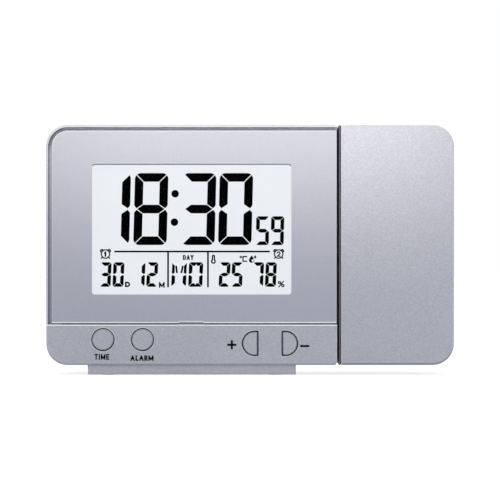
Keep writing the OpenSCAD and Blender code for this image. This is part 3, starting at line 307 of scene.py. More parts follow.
def beyondOpening(tree, margin):
    # one beyond the clear plate and a margin round it, and nought over them
    lo, hi = boxOf("lcd_window")
    place = axesOf(tree, objectPlace(tree))
    outside = []
    for axis, low, high in ((0, lo.x, hi.x), (2, lo.z, hi.z)):
        off = distanceFrom(tree, place[axis], (low + high) / 2)
        outside.append(calculate(tree, "GREATER_THAN", off, ((high - low) / 2 + margin) * mm))
    return calculate(tree, "MAXIMUM", *outside)


def panelSilver():
    look = dict(color=(0.597, 0.603, 0.69), edge=(0.98, 0.98, 1.0), metallic=0.255, roughness=0.5,
                sheen=(-0.06, 0.08), pitch=0.55, length=5.0, contrast=0.5, spread=(0.9, 1.1), bump=0.01,
                edgeWidth=1.3, rim=0.5, margin=1.0)
    material, tree, shader = newMaterial("panelSilver")
    brush = placeGroup(tree, crossBrush, {"Pitch": look["pitch"], "Length": look["length"],
                                          "Contrast": look["contrast"]})
    marksAndLight = placeGroup(tree, smudgeAndPaintedLight, {"Edge Width": look["edgeWidth"]})
    tone = varied(tree, brush["Sheen"], look["color"], look["spread"])
    # a painted highlight on the outer edges only, none on those of the display opening
    outer = calculate(tree, "MULTIPLY", marksAndLight["PaintedHighlight"], beyondOpening(tree, look["margin"]))
    # and a painted highlight along the panel's rim at the seam
    foot = boxOf("front_panel")[0].z
    paintedEdgeLight = calculate(tree, "MAXIMUM", outer, seamHighlightBand(tree, foot, foot + look["rim"]))
    edged = mixColors(tree, paintedEdgeLight, tone, look["edge"] + (1.0,))
    tree.links.new(shadeGaps(tree, edged, marksAndLight["GapShade"]), shader.inputs["Base Color"])
    setRoughness(tree, shader, brush["Sheen"], look["roughness"], look["sheen"])
    setMetallic(tree, shader, paintedEdgeLight, look["metallic"])
    setBump(tree, shader, brush["Height"], look["bump"])
    return material


def mouldedPlastic(name, color, roughness, pitch, depth):
    look = dict(contrast=0.6, spread=(0.85, 1.15), smudge=(-0.05, 0.08), wornLift=0.03, wornGain=1.2)
    material, tree, shader = newMaterial(name)
    skin = placeGroup(tree, grain, {"Size": pitch, "Contrast": look["contrast"]})
    marksAndLight = placeGroup(tree, smudgeAndPaintedLight)
    tone = varied(tree, skin["Speckle"], color, look["spread"])
    edgeWearAndPaintedLight = tint([part + look["wornLift"] for part in color], look["wornGain"])
    tree.links.new(mixColors(tree, marksAndLight["Edge"], tone, edgeWearAndPaintedLight), shader.inputs["Base Color"])
    setRoughness(tree, shader, marksAndLight["Smudge"], roughness, look["smudge"])
    setBump(tree, shader, skin["Height"], depth)
    return material


def clearPlastic(name, color, index, roughness):
    # shadow and diffuse rays pass straight through, so that light reaches what lies behind
    look = dict(smudgeSize=20.0, smudge=(0.0, 0.03), spread=(0.99, 1.0))
    material, tree, shader = newMaterial(name)
    marksAndLight = placeGroup(tree, smudgeAndPaintedLight, {"Smudge Size": look["smudgeSize"]})
    setRoughness(tree, shader, marksAndLight["Smudge"], roughness, look["smudge"])
    tree.links.new(varied(tree, marksAndLight["Smudge"], color, look["spread"]), shader.inputs["Base Color"])
    shader.inputs["Transmission Weight"].default_value = 1.0
    shader.inputs["IOR"].default_value = index
    rays = addNode(tree, "LightPath").outputs
    passing = calculate(tree, "MAXIMUM", rays["Is Shadow Ray"], rays["Is Diffuse Ray"])
    through = addNode(tree, "BsdfTransparent").outputs[0]
    mixed = addNode(tree, "MixShader", {0: passing, 1: shader.outputs[0], 2: through})
    tree.links.new(mixed.outputs[0], tree.nodes["Material Output"].inputs["Surface"])
    return material


def displayCell():
    # the backlight gives the cell a low, even glow
    look = dict(color=(0.06, 0.062, 0.064), spread=(0.98, 1.02), glow=(0.752, 0.772, 0.812),
                glowSpread=(0.99, 1.01), film=0.5, contrast=0.05, roughness=0.35)
    material, tree, shader = newMaterial("displayCell")
    film = placeGroup(tree, grain, {"Size": look["film"], "Contrast": look["contrast"]})["Speckle"]
    tree.links.new(varied(tree, film, look["color"], look["spread"]), shader.inputs["Base Color"])
    tree.links.new(varied(tree, film, look["glow"], look["glowSpread"]), shader.inputs["Emission Color"])
    shader.inputs["Emission Strength"].default_value = 1.0
    shader.inputs["Roughness"].default_value = look["roughness"]
    return material


def circuitBoard():
    # green solder mask with copper tracks that show through, and tinned pads
    look = dict(mask=(0.02, 0.16, 0.07), track=(0.05, 0.28, 0.12), pad=(0.75, 0.72, 0.62),
                trackScale=160.0, trackWidth=0.09, padScale=240.0, padRadius=0.16, padMetal=0.9,
                roughness=(0.35, 0.22), bump=0.03)
    black = (0.0, 0.0, 0.0, 1.0)
    white = (1.0, 1.0, 1.0, 1.0)
    material, tree, shader = newMaterial("circuitBoard")
    # the pattern is turned to lie on an upright board
    turned = addNode(tree, "Mapping", {"Vector": objectPlace(tree), "Rotation": (math.radians(90), 0, 0)})
    face = turned.outputs[0]
    tracks = addNode(tree, "TexBrick", {"Vector": face, "Scale": look["trackScale"], "Color1": black,
                                        "Mortar Size": look["trackWidth"], "Color2": black, "Mortar": white})
    pads = addNode(tree, "TexVoronoi", {"Vector": face, "Scale": look["padScale"]})
    dots = calculate(tree, "LESS_THAN", pads.outputs["Distance"], look["padRadius"])
    tone = mixColors(tree, tracks.outputs["Color"], look["mask"] + (1.0,), look["track"] + (1.0,))
    tree.links.new(mixColors(tree, dots, tone, look["pad"] + (1.0,)), shader.inputs["Base Color"])
    tree.links.new(calculate(tree, "MULTIPLY", dots, look["padMetal"]), shader.inputs["Metallic"])
    tree.links.new(mapRange(tree, dots, target=look["roughness"]), shader.inputs["Roughness"])
    setBump(tree, shader, tracks.outputs["Color"], look["bump"])
    return material


def platedMetal(name, color, roughness):
    look = dict(scratch=0.4, contrast=0.5, smudgeSize=6.0, spread=(0.85, 1.05), speckle=(0.3, 0.7),
                shine=(-0.06, 0.08), bump=0.006)
    material, tree, shader = newMaterial(name)
    fine = placeGroup(tree, grain, {"Size": look["scratch"], "Contrast": look["contrast"]})
    marksAndLight = placeGroup(tree, smudgeAndPaintedLight, {"Smudge Size": look["smudgeSize"]})
    tree.links.new(varied(tree, marksAndLight["Smudge"], color, look["spread"]), shader.inputs["Base Color"])
    setRoughness(tree, shader, fine["Speckle"], roughness, look["shine"], look["speckle"])
    shader.inputs["Metallic"].default_value = 1.0
    setBump(tree, shader, fine["Height"], look["bump"])
    return material


def grained(tree, tone, size, contrast, lightest):
    # grain on a tone that already varies
    speckle = placeGroup(tree, grain, {"Size": size, "Contrast": contrast})["Speckle"]
    return mixColors(tree, speckle, tone, (lightest,) * 3 + (1.0,), blend="MULTIPLY")


def cellWrap():
    # printed film round the cell, with the bare steel of the can at both ends
    look = dict(body=(0.03, 0.05, 0.09), band=(0.62, 0.42, 0.16), steel=(0.72, 0.71, 0.69), bareEnd=1.4,
                bandReach=14.0, roughness=0.3, film=dict(size=0.6, contrast=0.3, lightest=1.1))
    lo, hi = boxOf("battery_cells")
    half = (hi.x - lo.x) / 2
    material, tree, shader = newMaterial("cellWrap")
    axes = axesOf(tree, objectPlace(tree))
    off = calculate(tree, "SUBTRACT", axes[0], (lo.x + hi.x) / 2 * mm)
    ends = calculate(tree, "GREATER_THAN", calculate(tree, "ABSOLUTE", off), (half - look["bareEnd"]) * mm)
    # the two cells lie head to tail, and the band marks the positive end of each
    upper = calculate(tree, "GREATER_THAN", axes[2], (lo.z + hi.z) / 2 * mm)
    positive = calculate(tree, "MULTIPLY", off, mapRange(tree, upper, target=(-1.0, 1.0)))
    band = calculate(tree, "GREATER_THAN", positive, (half - look["bandReach"]) * mm)
    tone = mixColors(tree, band, look["body"] + (1.0,), look["band"] + (1.0,))
    whole = mixColors(tree, ends, tone, look["steel"] + (1.0,))
    tree.links.new(grained(tree, whole, **look["film"]), shader.inputs["Base Color"])
    tree.links.new(ends, shader.inputs["Metallic"])
    shader.inputs["Roughness"].default_value = look["roughness"]
    return material


def wireJacket():
    # cores side by side, each of its own colour
    look = dict(cores=((0.55, 0.02, 0.02), (0.02, 0.02, 0.02), (0.75, 0.75, 0.72), (0.75, 0.55, 0.05)),
                roughness=0.5, skin=dict(size=0.3, contrast=0.4, lightest=1.2))
    material, tree, shader = newMaterial("wireJacket")
    lo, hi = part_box("projector_cable")
    side = axesOf(tree, objectPlace(tree))[1]
    ramp = addNode(tree, "ValToRGB", {0: mapRange(tree, side, (lo.y, hi.y))})
    ramp.color_ramp.interpolation = "CONSTANT"
    stops = ramp.color_ramp.elements
    for count, core in enumerate(look["cores"]):
        start = count / len(look["cores"])
        stop = stops[count] if count < len(stops) else stops.new(start)
        stop.position = start
        stop.color = core + (1.0,)
    tree.links.new(grained(tree, ramp.outputs[0], **look["skin"]), shader.inputs["Base Color"])
    shader.inputs["Roughness"].default_value = look["roughness"]
    return material


def printInk(name, color, roughness, gloss):
    look = dict(grain=0.25, contrast=0.5, spread=(0.8, 1.2), shine=(-0.05, 0.05))
    material, tree, shader = newMaterial(name)
    speckle = placeGroup(tree, grain, {"Size": look["grain"], "Contrast": look["contrast"]})["Speckle"]
    tree.links.new(varied(tree, speckle, color, look["spread"]), shader.inputs["Base Color"])
    setRoughness(tree, shader, speckle, roughness, look["shine"])
    shader.inputs["Specular IOR Level"].default_value = gloss
    return material


# the edge colour is a painted highlight along the edges
silver = dict(color=(0.653, 0.659, 0.738), edge=(0.96, 0.96, 0.98), edgeWidth=0.6)
finishes = {
    "silver_shell": silverPaint("silverPaint", **silver),
    "panel_silver": panelSilver(),
    "clear_window": clearPlastic("clearPlate", (1.0, 1.0, 1.0), index=1.04, roughness=0.03),
    "display_glass": displayCell(),
    "light_guide": mouldedPlastic("guideAcrylic", (0.86, 0.88, 0.9), roughness=0.2, pitch=0.8, depth=0.005),
    "white_plastic": mouldedPlastic("whitePlastic", (0.78, 0.78, 0.76), roughness=0.45, pitch=0.5,
                                    depth=0.01),
    "black_plastic": mouldedPlastic("blackPlastic", (0.018, 0.018, 0.02), roughness=0.42, pitch=0.45,
                                    depth=0.015),
    "circuit_board": circuitBoard(),
    "plated_metal": platedMetal("nickelPlate", (0.72, 0.71, 0.68), roughness=0.25),
    "steel": platedMetal("screwSteel", (0.55, 0.55, 0.56), roughness=0.35),
    "brass": platedMetal("brassDisc", (0.72, 0.52, 0.22), roughness=0.3),
    "cell_wrap": cellWrap(),
    "rubber": mouldedPlastic("rubberPad", (0.035, 0.035, 0.036), roughness=0.8, pitch=0.6, depth=0.03),
    "wire": wireJacket(),
}
displayInk = printInk("displayInk", (0.001, 0.001, 0.0015), roughness=0.4, gloss=0.0)
legendInk = printInk("legendInk", (0.006, 0.006, 0.008), roughness=0.5, gloss=0.05)

# the keys and the cap stand beside dark gaps: painted shade darkens their edges, and the cap's whole colour
# is a darker painted shade
keyShadedEdgePaint = silverPaint("keyShadedEdgePaint", silver["color"], edge=(0.05, 0.05, 0.06), edgeWidth=0.8, edgeWearAndPaintedLight="Edge")
capShadedPaint = silverPaint("capShadedPaint", (0.27, 0.27, 0.32), edge=(0.07, 0.07, 0.09), edgeWidth=0.6, edgeWearAndPaintedLight="Edge")
# the lenses are thick clear plastic, and the projection slide is dark while its lamp is off
lensPlastic = clearPlastic("lensPlastic", (0.9, 0.95, 0.98), index=1.45, roughness=0.02)
slideGlass = printInk("slideGlass", (0.012, 0.013, 0.02), roughness=0.18, gloss=0.5)
# the gap between the panel and the strip below it, and the painted highlight along the strip's rim
seam = dict(gap=0.35, rim=0.38)
seamLevel = boxOf("front_panel")[0].z - seam["gap"]
casePaint = silverPaint("casePaint", rim=(seamLevel - seam["rim"], seamLevel), **silver)
ownFinishes = dict(side_cap=capShadedPaint, front_case=casePaint, objective_lens=lensPlastic,
                   condenser_lens=lensPlastic, projection_lcd=slideGlass)
ownFinishes.update({key + "_button": keyShadedEdgePaint for key in ("time", "alarm", "plus", "minus")})

for entry in frame["record"]["subparts"]:
    finish = ownFinishes.get(entry["node"], finishes[entry["material_slot"]])
    slots = nodes[entry["node"]].data.materials
    slots.clear()
    slots.append(finish)
print("finishes on", len(nodes), "nodes")


def recalculate(mesh):
    work = bmesh.new()
    work.from_mesh(mesh)
    bmesh.ops.recalc_face_normals(work, faces=work.faces)
    work.to_mesh(mesh)
    work.free()


def flatShape(name, outlines, front, depth, material):
    # closed outlines in the front plane, each given the ink's thickness
    points = []
    faces = []
    for outline in outlines:
        start = len(points)
        count = len(outline)
        for y in (front, front + depth):
            points += [(x * mm, y * mm, z * mm) for x, z in outline]
        faces.append(tuple(range(start, start + count)))
        faces.append(tuple(range(start + 2 * count - 1, start + count - 1, -1)))
        for i in range(count):
            j = (i + 1) % count
            faces.append((start + i, start + count + i, start + count + j, start + j))
    mesh = bpy.data.meshes.new(name)
    mesh.from_pydata(points, [], faces)
    mesh.materials.append(material)
    shape = bpy.data.objects.new(name, mesh)
    bpy.context.scene.collection.objects.link(shape)
    recalculate(mesh)
    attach(shape, "clock_body")


def strokeOutline(path, width):
    # a pen stroke with square ends and mitred bends; a mitre reaches out by one width at most
    sharpest = 0.5
    left = []
    right = []
    last = len(path) - 1
    closed = path[0] == path[-1]
    for i, (x, y) in enumerate(path):
        before = path[i - 1] if i > 0 else (path[-2] if closed else None)
        after = path[i + 1] if i < last else (path[1] if closed else None)
        ways = []
        if before:
            ways.append(Vector((x - before[0], y - before[1])).normalized())
        if after:
            ways.append(Vector((after[0] - x, after[1] - y)).normalized())
        along = sum(ways, Vector((0, 0))).normalized()
        side = Vector((-along.y, along.x))
        reach = width / 2 / max(sharpest, abs(side.dot(Vector((-ways[0].y, ways[0].x)))))
        left.append((x + side.x * reach, y + side.y * reach))
        right.append((x - side.x * reach, y - side.y * reach))
    return left + right[::-1]


def arcPath(centre, radius, start, end, steps=12):
    turns = [math.radians(start + (end - start) * i / steps) for i in range(steps + 1)]
    return [(centre[0] + radius * math.cos(t), centre[1] + radius * math.sin(t)) for t in turns]


def discOutline(centre, radius, count):
    return arcPath(centre, radius, 0, 360 - 360 / count, count - 1)


def ringPath(centre, radius, steps=12):
    # a full turn, for a pen to follow
    return arcPath(centre, radius, 0, 360, steps)


def penStrokes(path, pen):
    # smooth runs become single strokes, and a round joint fills each sharp bend between them
    sharpBend = math.radians(40)
    jointPoints = 12
    closed = path[0] == path[-1]
    runs = [[path[0]]]
    joints = []
    for i in range(1, len(path)):
        runs[-1].append(path[i])
        if i == len(path) - 1 and not closed:
            break
        after = path[1] if i == len(path) - 1 else path[i + 1]
        way = Vector((path[i][0] - path[i - 1][0], path[i][1] - path[i - 1][1]))
        turn = way.angle(Vector((after[0] - path[i][0], after[1] - path[i][1])))
        if turn > sharpBend:
            joints.append(discOutline(path[i], pen / 2, jointPoints))
            runs.append([path[i]])
    return [strokeOutline(run, pen) for run in runs if len(run) > 1] + joints


plateSeat = 1.15  # the clear plate reaches this far under the panel's rim
plateLo, plateHi = boxOf("lcd_window")
openingLeft = plateLo.x + plateSeat
openingRight = plateHi.x - plateSeat
openingTop = plateHi.z - plateSeat
displayPrint = dict(depth=0.045, gap=0.005)  # the ink's thickness, and its distance from the glass
displayFront = boxOf("lcd_glass")[0].y - displayPrint["depth"] - displayPrint["gap"]


def drawOnDisplay(name, outlines):
    # layout places run right and down from the opening's top left corner
    placed = [[(openingLeft + x, openingTop - y) for x, y in outline] for outline in outlines]
    flatShape(name, placed, displayFront, displayPrint["depth"], displayInk)


def flipAcross(shape, width):
    return [(width - x, y) for x, y in shape]


def flipDown(shape, height):
    return [(x, height - y) for x, y in shape]


def cornerArc(corner, gap, steps=5):
    # a segment's half of a rounded corner, from beside the mitre to the straight edge
    first = 45 + math.degrees(math.asin(gap / (corner * math.sqrt(2))))
    turns = [math.radians(first + (90 - first) * i / steps) for i in range(steps + 1)]
    return [(corner - corner * math.cos(t), corner - corner * math.sin(t)) for t in turns]


def segmentShapes(width, height, stroke, mitre):
    # seven segments in a cell whose origin is its top left corner
    share = dict(corner=0.7, outer=0.35, point=0.28, tip=0.3)  # of the stroke's width
    gap = dict(end=1.2, inner=1.08, tip=0.8)  # of the mitre
    barCut = 0.1
    middle = height / 2
    arc = cornerArc(stroke * share["corner"], mitre)
    top = arc + flipAcross(arc[::-1], width)
    top += [(width - stroke - mitre, stroke), (stroke + mitre, stroke)]
    side = [(y, x) for x, y in arc]
    side += [(0, middle - stroke * share["outer"] - mitre * gap["end"]),
             (stroke * share["point"], middle - mitre * gap["end"]),
             (stroke, middle - stroke / 2 - mitre * gap["inner"]),
             (stroke, stroke + mitre)]
    bar = [(stroke * share["tip"] + mitre * gap["tip"], middle), (stroke + barCut, middle - stroke / 2)]
    bar += flipAcross(bar[::-1], width)
    bar += flipDown([bar[2], bar[1]], height)
    return {"a": top, "f": side, "b": flipAcross(side, width), "e": flipDown(side, height),
            "c": flipAcross(flipDown(side, height), width), "d": flipDown(top, height), "g": bar}


def placeShape(shape, place, cell):
    # all characters lean a little to the right
    middle = cell["height"] / 2
    return [(place + x + cell["lean"] * (middle - y), cell["top"] + y) for x, y in shape]


litSegments = {"0": "abcdef", "1": "bc", "2": "abged", "3": "abgcd", "5": "afgcd", "7": "abc",
               "8": "abcdefg", "9": "abcdfg"}
timeCell = dict(top=3.46, width=12.74, height=27.4, stroke=3.27, mitre=0.22, lean=0.026)
secondsCell = dict(top=19.91, width=5.0, height=10.98, stroke=1.42, mitre=0.08, lean=0.026)
smallCell = dict(top=37.43, width=4.2, height=9.35, stroke=1.36, mitre=0.08, lean=0.045)
digitRows = {
    "time_digits": dict(text="1830", places=(1.71, 15.99, 34.27, 48.3), cell=timeCell),
    "seconds_digits": dict(text="59", places=(62.42, 68.1), cell=secondsCell),
    "date_digits": dict(text="30", places=(3.02, 7.92), cell=smallCell),
    "month_digits": dict(text="12", places=(15.94, 20.78), cell=smallCell),
    "temperature_digits": dict(text="25", places=(48.36, 53.14), cell=smallCell),
    "humidity_digits": dict(text="78", places=(61.13, 66.0), cell=smallCell),
}


def drawDigits(name, text, places, cell):
    shapes = segmentShapes(cell["width"], cell["height"], cell["stroke"], cell["mitre"])
    drawOnDisplay(name, [placeShape(shapes[key], place, cell)
                         for digit, place in zip(text, places) for key in litSegments[digit]])


for rowName, row in digitRows.items():
    drawDigits(rowName, **row)


def fourteenSegmentM(left, right):
    # outer and inner strokes meet the top corners, and the lower legs are plain segments
    middle = smallCell["height"] / 2
    width = right - left
    plain = segmentShapes(width, smallCell["height"], smallCell["stroke"], smallCell["mitre"])
    outer = [(0.02, 0.3), (0.02, middle - 0.5), (0.33, middle - 0.22), (1.08, middle - 0.62), (1.1, 1.4)]
    inner = [(1.2, 1.3), (1.88, 1.36), (2.34, 4.1), (1.6, 4.1)]
    parts = [outer, flipAcross(outer, width), inner, flipAcross(inner, width), plain["e"], plain["c"]]
    return [placeShape(part, left, smallCell) for part in parts]


def notchedO(left, width, notchHalf, notchTop):
    # the top and bottom bars each have a notch in the middle
    height = smallCell["height"]
    stroke = smallCell["stroke"]
    plain = segmentShapes(width, height, stroke, smallCell["mitre"])
    centre = width / 2
    notch = [(centre + notchHalf, stroke), (centre, stroke * notchTop), (centre - notchHalf, stroke)]
    bar = plain["a"][:-1] + notch + plain["a"][-1:]
    parts = [bar, flipDown(bar, height)] + [plain[key] for key in "bcef"]
    return [placeShape(part, left, smallCell) for part in parts]


def drawDay():
    letterM = dict(left=30.3, right=35.93)
    letterO = dict(left=36.76, width=5.4, notchHalf=0.42, notchTop=0.55)
    drawOnDisplay("day_letters", fourteenSegmentM(**letterM) + notchedO(**letterO))


def drawColon():
    dots = dict(places=((31.62, 11.32), (31.35, 22.15)), radius=1.44, points=48)
    drawOnDisplay("colon_dots", [discOutline(place, dots["radius"], dots["points"])
                                 for place in dots["places"]])


def drawDividers():
    lines = dict(width=0.66, left=8.4, right=67.75, level=33.35, down=(28.93, 44.13), bottom=46.95)
    level = lines["level"]
    paths = [[(lines["left"], level), (lines["right"], level)]]
    paths += [[(x, level + lines["width"] / 2), (x, lines["bottom"])] for x in lines["down"]]
    drawOnDisplay("divider_lines", [strokeOutline(path, lines["width"]) for path in paths])


def drawTopEdgeShadow():
    # a painted shadow: a thin dark line along the opening's upper edge and a little way round its corners,
    # where the panel's rim shades the cell
    shadowLine = dict(width=0.27, corner=1.1, bend=70)
    corner = shadowLine["corner"]
    radius = corner - shadowLine["width"] / 2
    right = openingRight - openingLeft
    path = arcPath((corner, corner), radius, 270 - shadowLine["bend"], 270, steps=6)
    path += arcPath((right - corner, corner), radius, 270, 270 + shadowLine["bend"], steps=6)
    drawOnDisplay("display_top_shadow", [strokeOutline(path, shadowLine["width"])])


def drawAlarmIcon(name, centre):
    # a round clock with two bells and two feet
    icon = dict(radius=1.6, line=0.48, bell=0.52, bellLine=0.6, bellPlace=(1.32, -1.12), bellTurn=(-150, 40),
                foot=0.5, footLine=0.5, footPlace=(1.2, 1.25))
    x, y = centre
    outlines = penStrokes(ringPath(centre, icon["radius"], steps=32), icon["line"])
    for side in (-1, 1):
        bellCentre = (x + side * icon["bellPlace"][0], y + icon["bellPlace"][1])
        outward = 0 if side > 0 else 180
        start, end = [outward + side * turn for turn in icon["bellTurn"]]
        bell = arcPath(bellCentre, icon["bell"], start, end, steps=10)
        outlines.append(strokeOutline(bell, icon["bellLine"]))
        out, down = icon["footPlace"]
        foot = [(x + side * (out + reach), y + down + reach) for reach in (0, icon["foot"])]
        outlines.append(strokeOutline(foot, icon["footLine"]))
    drawOnDisplay(name, outlines)


def drawThermometer():
    meter = dict(centre=46.2, top=34.8, stem=0.72, bulbLevel=37.1, bulb=0.68, line=0.54)
    x = meter["centre"]
    half = meter["stem"] / 2
    path = arcPath((x, meter["top"] + half), half, 180, 360, steps=6)
    lift = math.sqrt(meter["bulb"] ** 2 - half ** 2)
    opening = math.degrees(math.atan2(lift, half))
    path += arcPath((x, meter["bulbLevel"]), meter["bulb"], -opening, 180 + opening, steps=20)
    path.append(path[0])
    drawOnDisplay("thermometer_icon", penStrokes(path, meter["line"]))


def drawDroplets():
    # the large drop keeps a curved light patch at its lower right, with a thin rim beyond it
    large = dict(centre=(60.76, 36.62), radius=1.02, turn=(62, 208), tip=(0.02, 1.85), flank=(0.86, 0.55))
    patch = dict(place=(0.42, 0.1), radius=0.42, turn=(-70, -215))  # in shares of the large drop's radius
    rim = dict(line=0.2, turn=(-22, 70))
    small = dict(centre=(62.08, 35.5), radius=0.46, turn=(-28, 208), tip=(-0.03, 0.8))
    x, y = large["centre"]
    r = large["radius"]
    outline = arcPath((x, y), r, *large["turn"], steps=14)
    outline += [(x + large["tip"][0], y - large["tip"][1]),
                (x + large["flank"][0] * r, y - large["flank"][1] * r)]
    outline += arcPath((x + patch["place"][0] * r, y + patch["place"][1] * r), patch["radius"] * r,
                       *patch["turn"])
    rimPath = arcPath((x, y), r - rim["line"] / 2, *rim["turn"], steps=8)
    smallDrop = arcPath(small["centre"], small["radius"], *small["turn"])
    smallDrop.append((small["centre"][0] + small["tip"][0], small["centre"][1] - small["tip"][1]))
    drawOnDisplay("droplet_icon", [outline, strokeOutline(rimPath, rim["line"]), smallDrop])


def roundEnd(x, top, bottom, reach):
    # half an ellipse that bulges to the right between two levels
    middle = (top + bottom) / 2
    turns = [math.radians(t) for t in range(-90, 91, 18)]
    return [(x + reach * math.cos(t), middle + (bottom - top) / 2 * math.sin(t)) for t in turns]


def roundTop(bottom):
    # the upper half of an ellipse as wide as the letter, from the left
    turns = [math.radians(t) for t in range(20, 181, 20)]
    return [(0.5 - 0.5 * math.cos(t), bottom - bottom * math.sin(t)) for t in turns]


# pen paths in a box one wide and one high, from the top left corner
letterPaths = {
    "A": [[(0, 1), (0.5, 0), (1, 1)], [(0.2, 0.66), (0.8, 0.66)]],
    "C": [[(1, 0), (0, 0), (0, 1), (1, 1)]],
    "D": [[(0, 1), (0, 0)] + roundEnd(0.4, 0, 1, 0.6) + [(0, 1)]],
    "E": [[(1, 0), (0, 0), (0, 1), (1, 1)], [(0, 0.5), (0.85, 0.5)]],
    "I": [[(0.5, 0), (0.5, 1)]],
    "L": [[(0, 0), (0, 1), (1, 1)]],
    "M": [[(0, 1), (0, 0), (0.5, 0.88), (1, 0), (1, 1)]],
    "R": [[(0, 1), (0, 0)] + roundEnd(0.55, 0, 0.5, 0.4) + [(0, 0.5)], [(0.5, 0.5), (1, 1)]],
    "T": [[(0, 0), (1, 0)], [(0.5, 0), (0.5, 1)]],
    "Y": [[(0, 0), (0.5, 0.5), (1, 0)], [(0.5, 0.5), (0.5, 1)]],
    "1": [[(0.1, 0.25), (0.6, 0), (0.6, 1)]],
    "2": [[(0, 0.25)] + roundTop(0.28) + [(0.95, 0.45), (0, 1), (1, 1)]],
    "%": [[(0.9, 0), (0.1, 1)], ringPath((0.2, 0.22), 0.2), ringPath((0.8, 0.78), 0.2)],
}
letterWidths = {"A": 0.95, "C": 1.0, "D": 0.8, "E": 0.68, "I": 0.05, "L": 0.5, "M": 1.2, "R": 0.62, "T": 0.78,
                "Y": 0.9, "1": 0.6, "2": 0.8, "%": 1.0}


def longEnds(path, reach):
    # an open stroke runs on past its end points, so that all letters end at one level
    if path[0] == path[-1]:
        return path
    ends = []
    for end, inner in ((path[0], path[1]), (path[-1], path[-2])):
        along = Vector((end[0] - inner[0], end[1] - inner[1])).normalized() * reach
        ends.append((end[0] + along.x, end[1] + along.y))
    return [ends[0]] + path[1:-1] + [ends[1]]


def wordOutlines(word, place, size, pen, gap=0.2):
    # the word fills the given width and height round its place; outlines count right and down
    space = pen + gap
    unit = (size[0] - pen - space * (len(word) - 1)) / sum(letterWidths[letter] for letter in word)
    height = size[1] - pen
    x = place[0] - size[0] / 2 + pen / 2
    outlines = []
    for letter in word:
        width = letterWidths[letter] * unit
        for path in letterPaths[letter]:
            placed = [(x + px * width, place[1] + (py - 0.5) * height) for px, py in path]
            outlines += penStrokes(longEnds(placed, pen / 2), pen)
        x += width + space
    return outlines


def drawDegree():
    ring = dict(centre=(56.66, 35.45), radius=0.3, line=0.36)
    path = ringPath(ring["centre"], ring["radius"], steps=20)
    drawOnDisplay("degree_ring", [strokeOutline(path, ring["line"])])


alarmIcons = {"alarm_icon_1": (5.08, 34.3), "alarm_icon_2": (71.08, 34.3)}
displayWords = {
    "alarm_number_1": dict(word="1", place=(5.02, 34.3), size=(1.05, 2.1), pen=0.62),
    "alarm_number_2": dict(word="2", place=(71.08, 34.3), size=(1.45, 2.1), pen=0.46),
    "date_letter": dict(word="D", place=(13.47, 45.86), size=(1.95, 2.1), pen=0.62),
    "month_letter": dict(word="M", place=(26.53, 46.05), size=(2.2, 2.2), pen=0.54),
    "day_word": dict(word="DAY", place=(36.63, 35.6), size=(4.12, 1.95), pen=0.46),
    "celsius_letter": dict(word="C", place=(58.16, 36.16), size=(1.82, 2.28), pen=0.48),
    "percent_sign": dict(word="%", place=(72.05, 45.75), size=(2.55, 2.45), pen=0.44),
}
drawDay()
drawColon()
drawDividers()
drawTopEdgeShadow()
for iconName, iconPlace in alarmIcons.items():
    drawAlarmIcon(iconName, iconPlace)
drawThermometer()
drawDroplets()
for wordName, entry in displayWords.items():
    drawOnDisplay(wordName, wordOutlines(**entry))
drawDegree()
print("display drawn")

stripFront = boxOf("front_case")[0].y
legendPrint = dict(proud=0.03, sunk=0.02)  # how far the ink stands out of the strip and reaches into it


def printBeside(key, kind, outlines):
    # places count right and down from the middle of the button that the print belongs to
    lo, hi = boxOf(key + "_button")
    x = (lo.x + hi.x) / 2
    z = (lo.z + hi.z) / 2
    placed = [[(x + px, z - py) for px, py in outline] for outline in outlines]
    flatShape(key + kind, placed, stripFront - legendPrint["proud"],
              legendPrint["proud"] + legendPrint["sunk"], legendInk)


def printWords():
    letterGap = 0.28
    words = dict(time=dict(place=(-0.4, 6.55), size=(5.65, 2.15), pen=0.46),
                 alarm=dict(place=(-0.18, 7.0), size=(8.8, 2.1), pen=0.5))
    for key, word in words.items():
        printBeside(key, "_legend", wordOutlines(key.upper(), gap=letterGap, **word))


def printSigns():
    signs = dict(places=dict(plus=(-6.95, 0.55), minus=(5.6, 1.04)), arm=1.7, pen=0.8)
    arm = signs["arm"]
    half = signs["pen"] / 2
    for key, (x, y) in signs["places"].items():
        paths = [[(x - arm, y), (x + arm, y)]]
        if key == "plus":
            paths += [[(x, y - arm), (x, y - half)], [(x, y + half), (x, y + arm)]]
        printBeside(key, "_sign", [strokeOutline(path, signs["pen"]) for path in paths])


printWords()
printSigns()
print("legends printed")


def seenRays(tree):
    # the rays that show a surface to the camera, also by way of metal or clear plastic
    rays = addNode(tree, "LightPath").outputs
    onward = calculate(tree, "MAXIMUM", rays["Is Glossy Ray"], rays["Is Transmission Ray"])
    return calculate(tree, "MAXIMUM", rays["Is Camera Ray"], onward)


def floorPaper(color, lift):
    look = dict(fibre=900.0, spread=(0.99, 1.01), roughness=0.9)
    material, tree, shader = newMaterial("floorPaper")
    fibre = addNode(tree, "TexNoise", {"Vector": objectPlace(tree), "Scale": look["fibre"], "Detail": 3.0})
    tone = varied(tree, fibre.outputs["Fac"], color, look["spread"])
    tree.links.new(tone, shader.inputs["Base Color"])
    shader.inputs["Roughness"].default_value = look["roughness"]
    shader.inputs["Specular IOR Level"].default_value = 0.0
    strength = calculate(tree, "MULTIPLY", seenRays(tree), lift)
    glow = addNode(tree, "Emission", {"Color": (1.0, 1.0, 1.0, 1.0), "Strength": strength})
    both = addNode(tree, "AddShader", {0: shader.outputs[0], 1: glow.outputs[0]})
    tree.links.new(both.outputs[0], tree.nodes["Material Output"].inputs["Surface"])
    return material


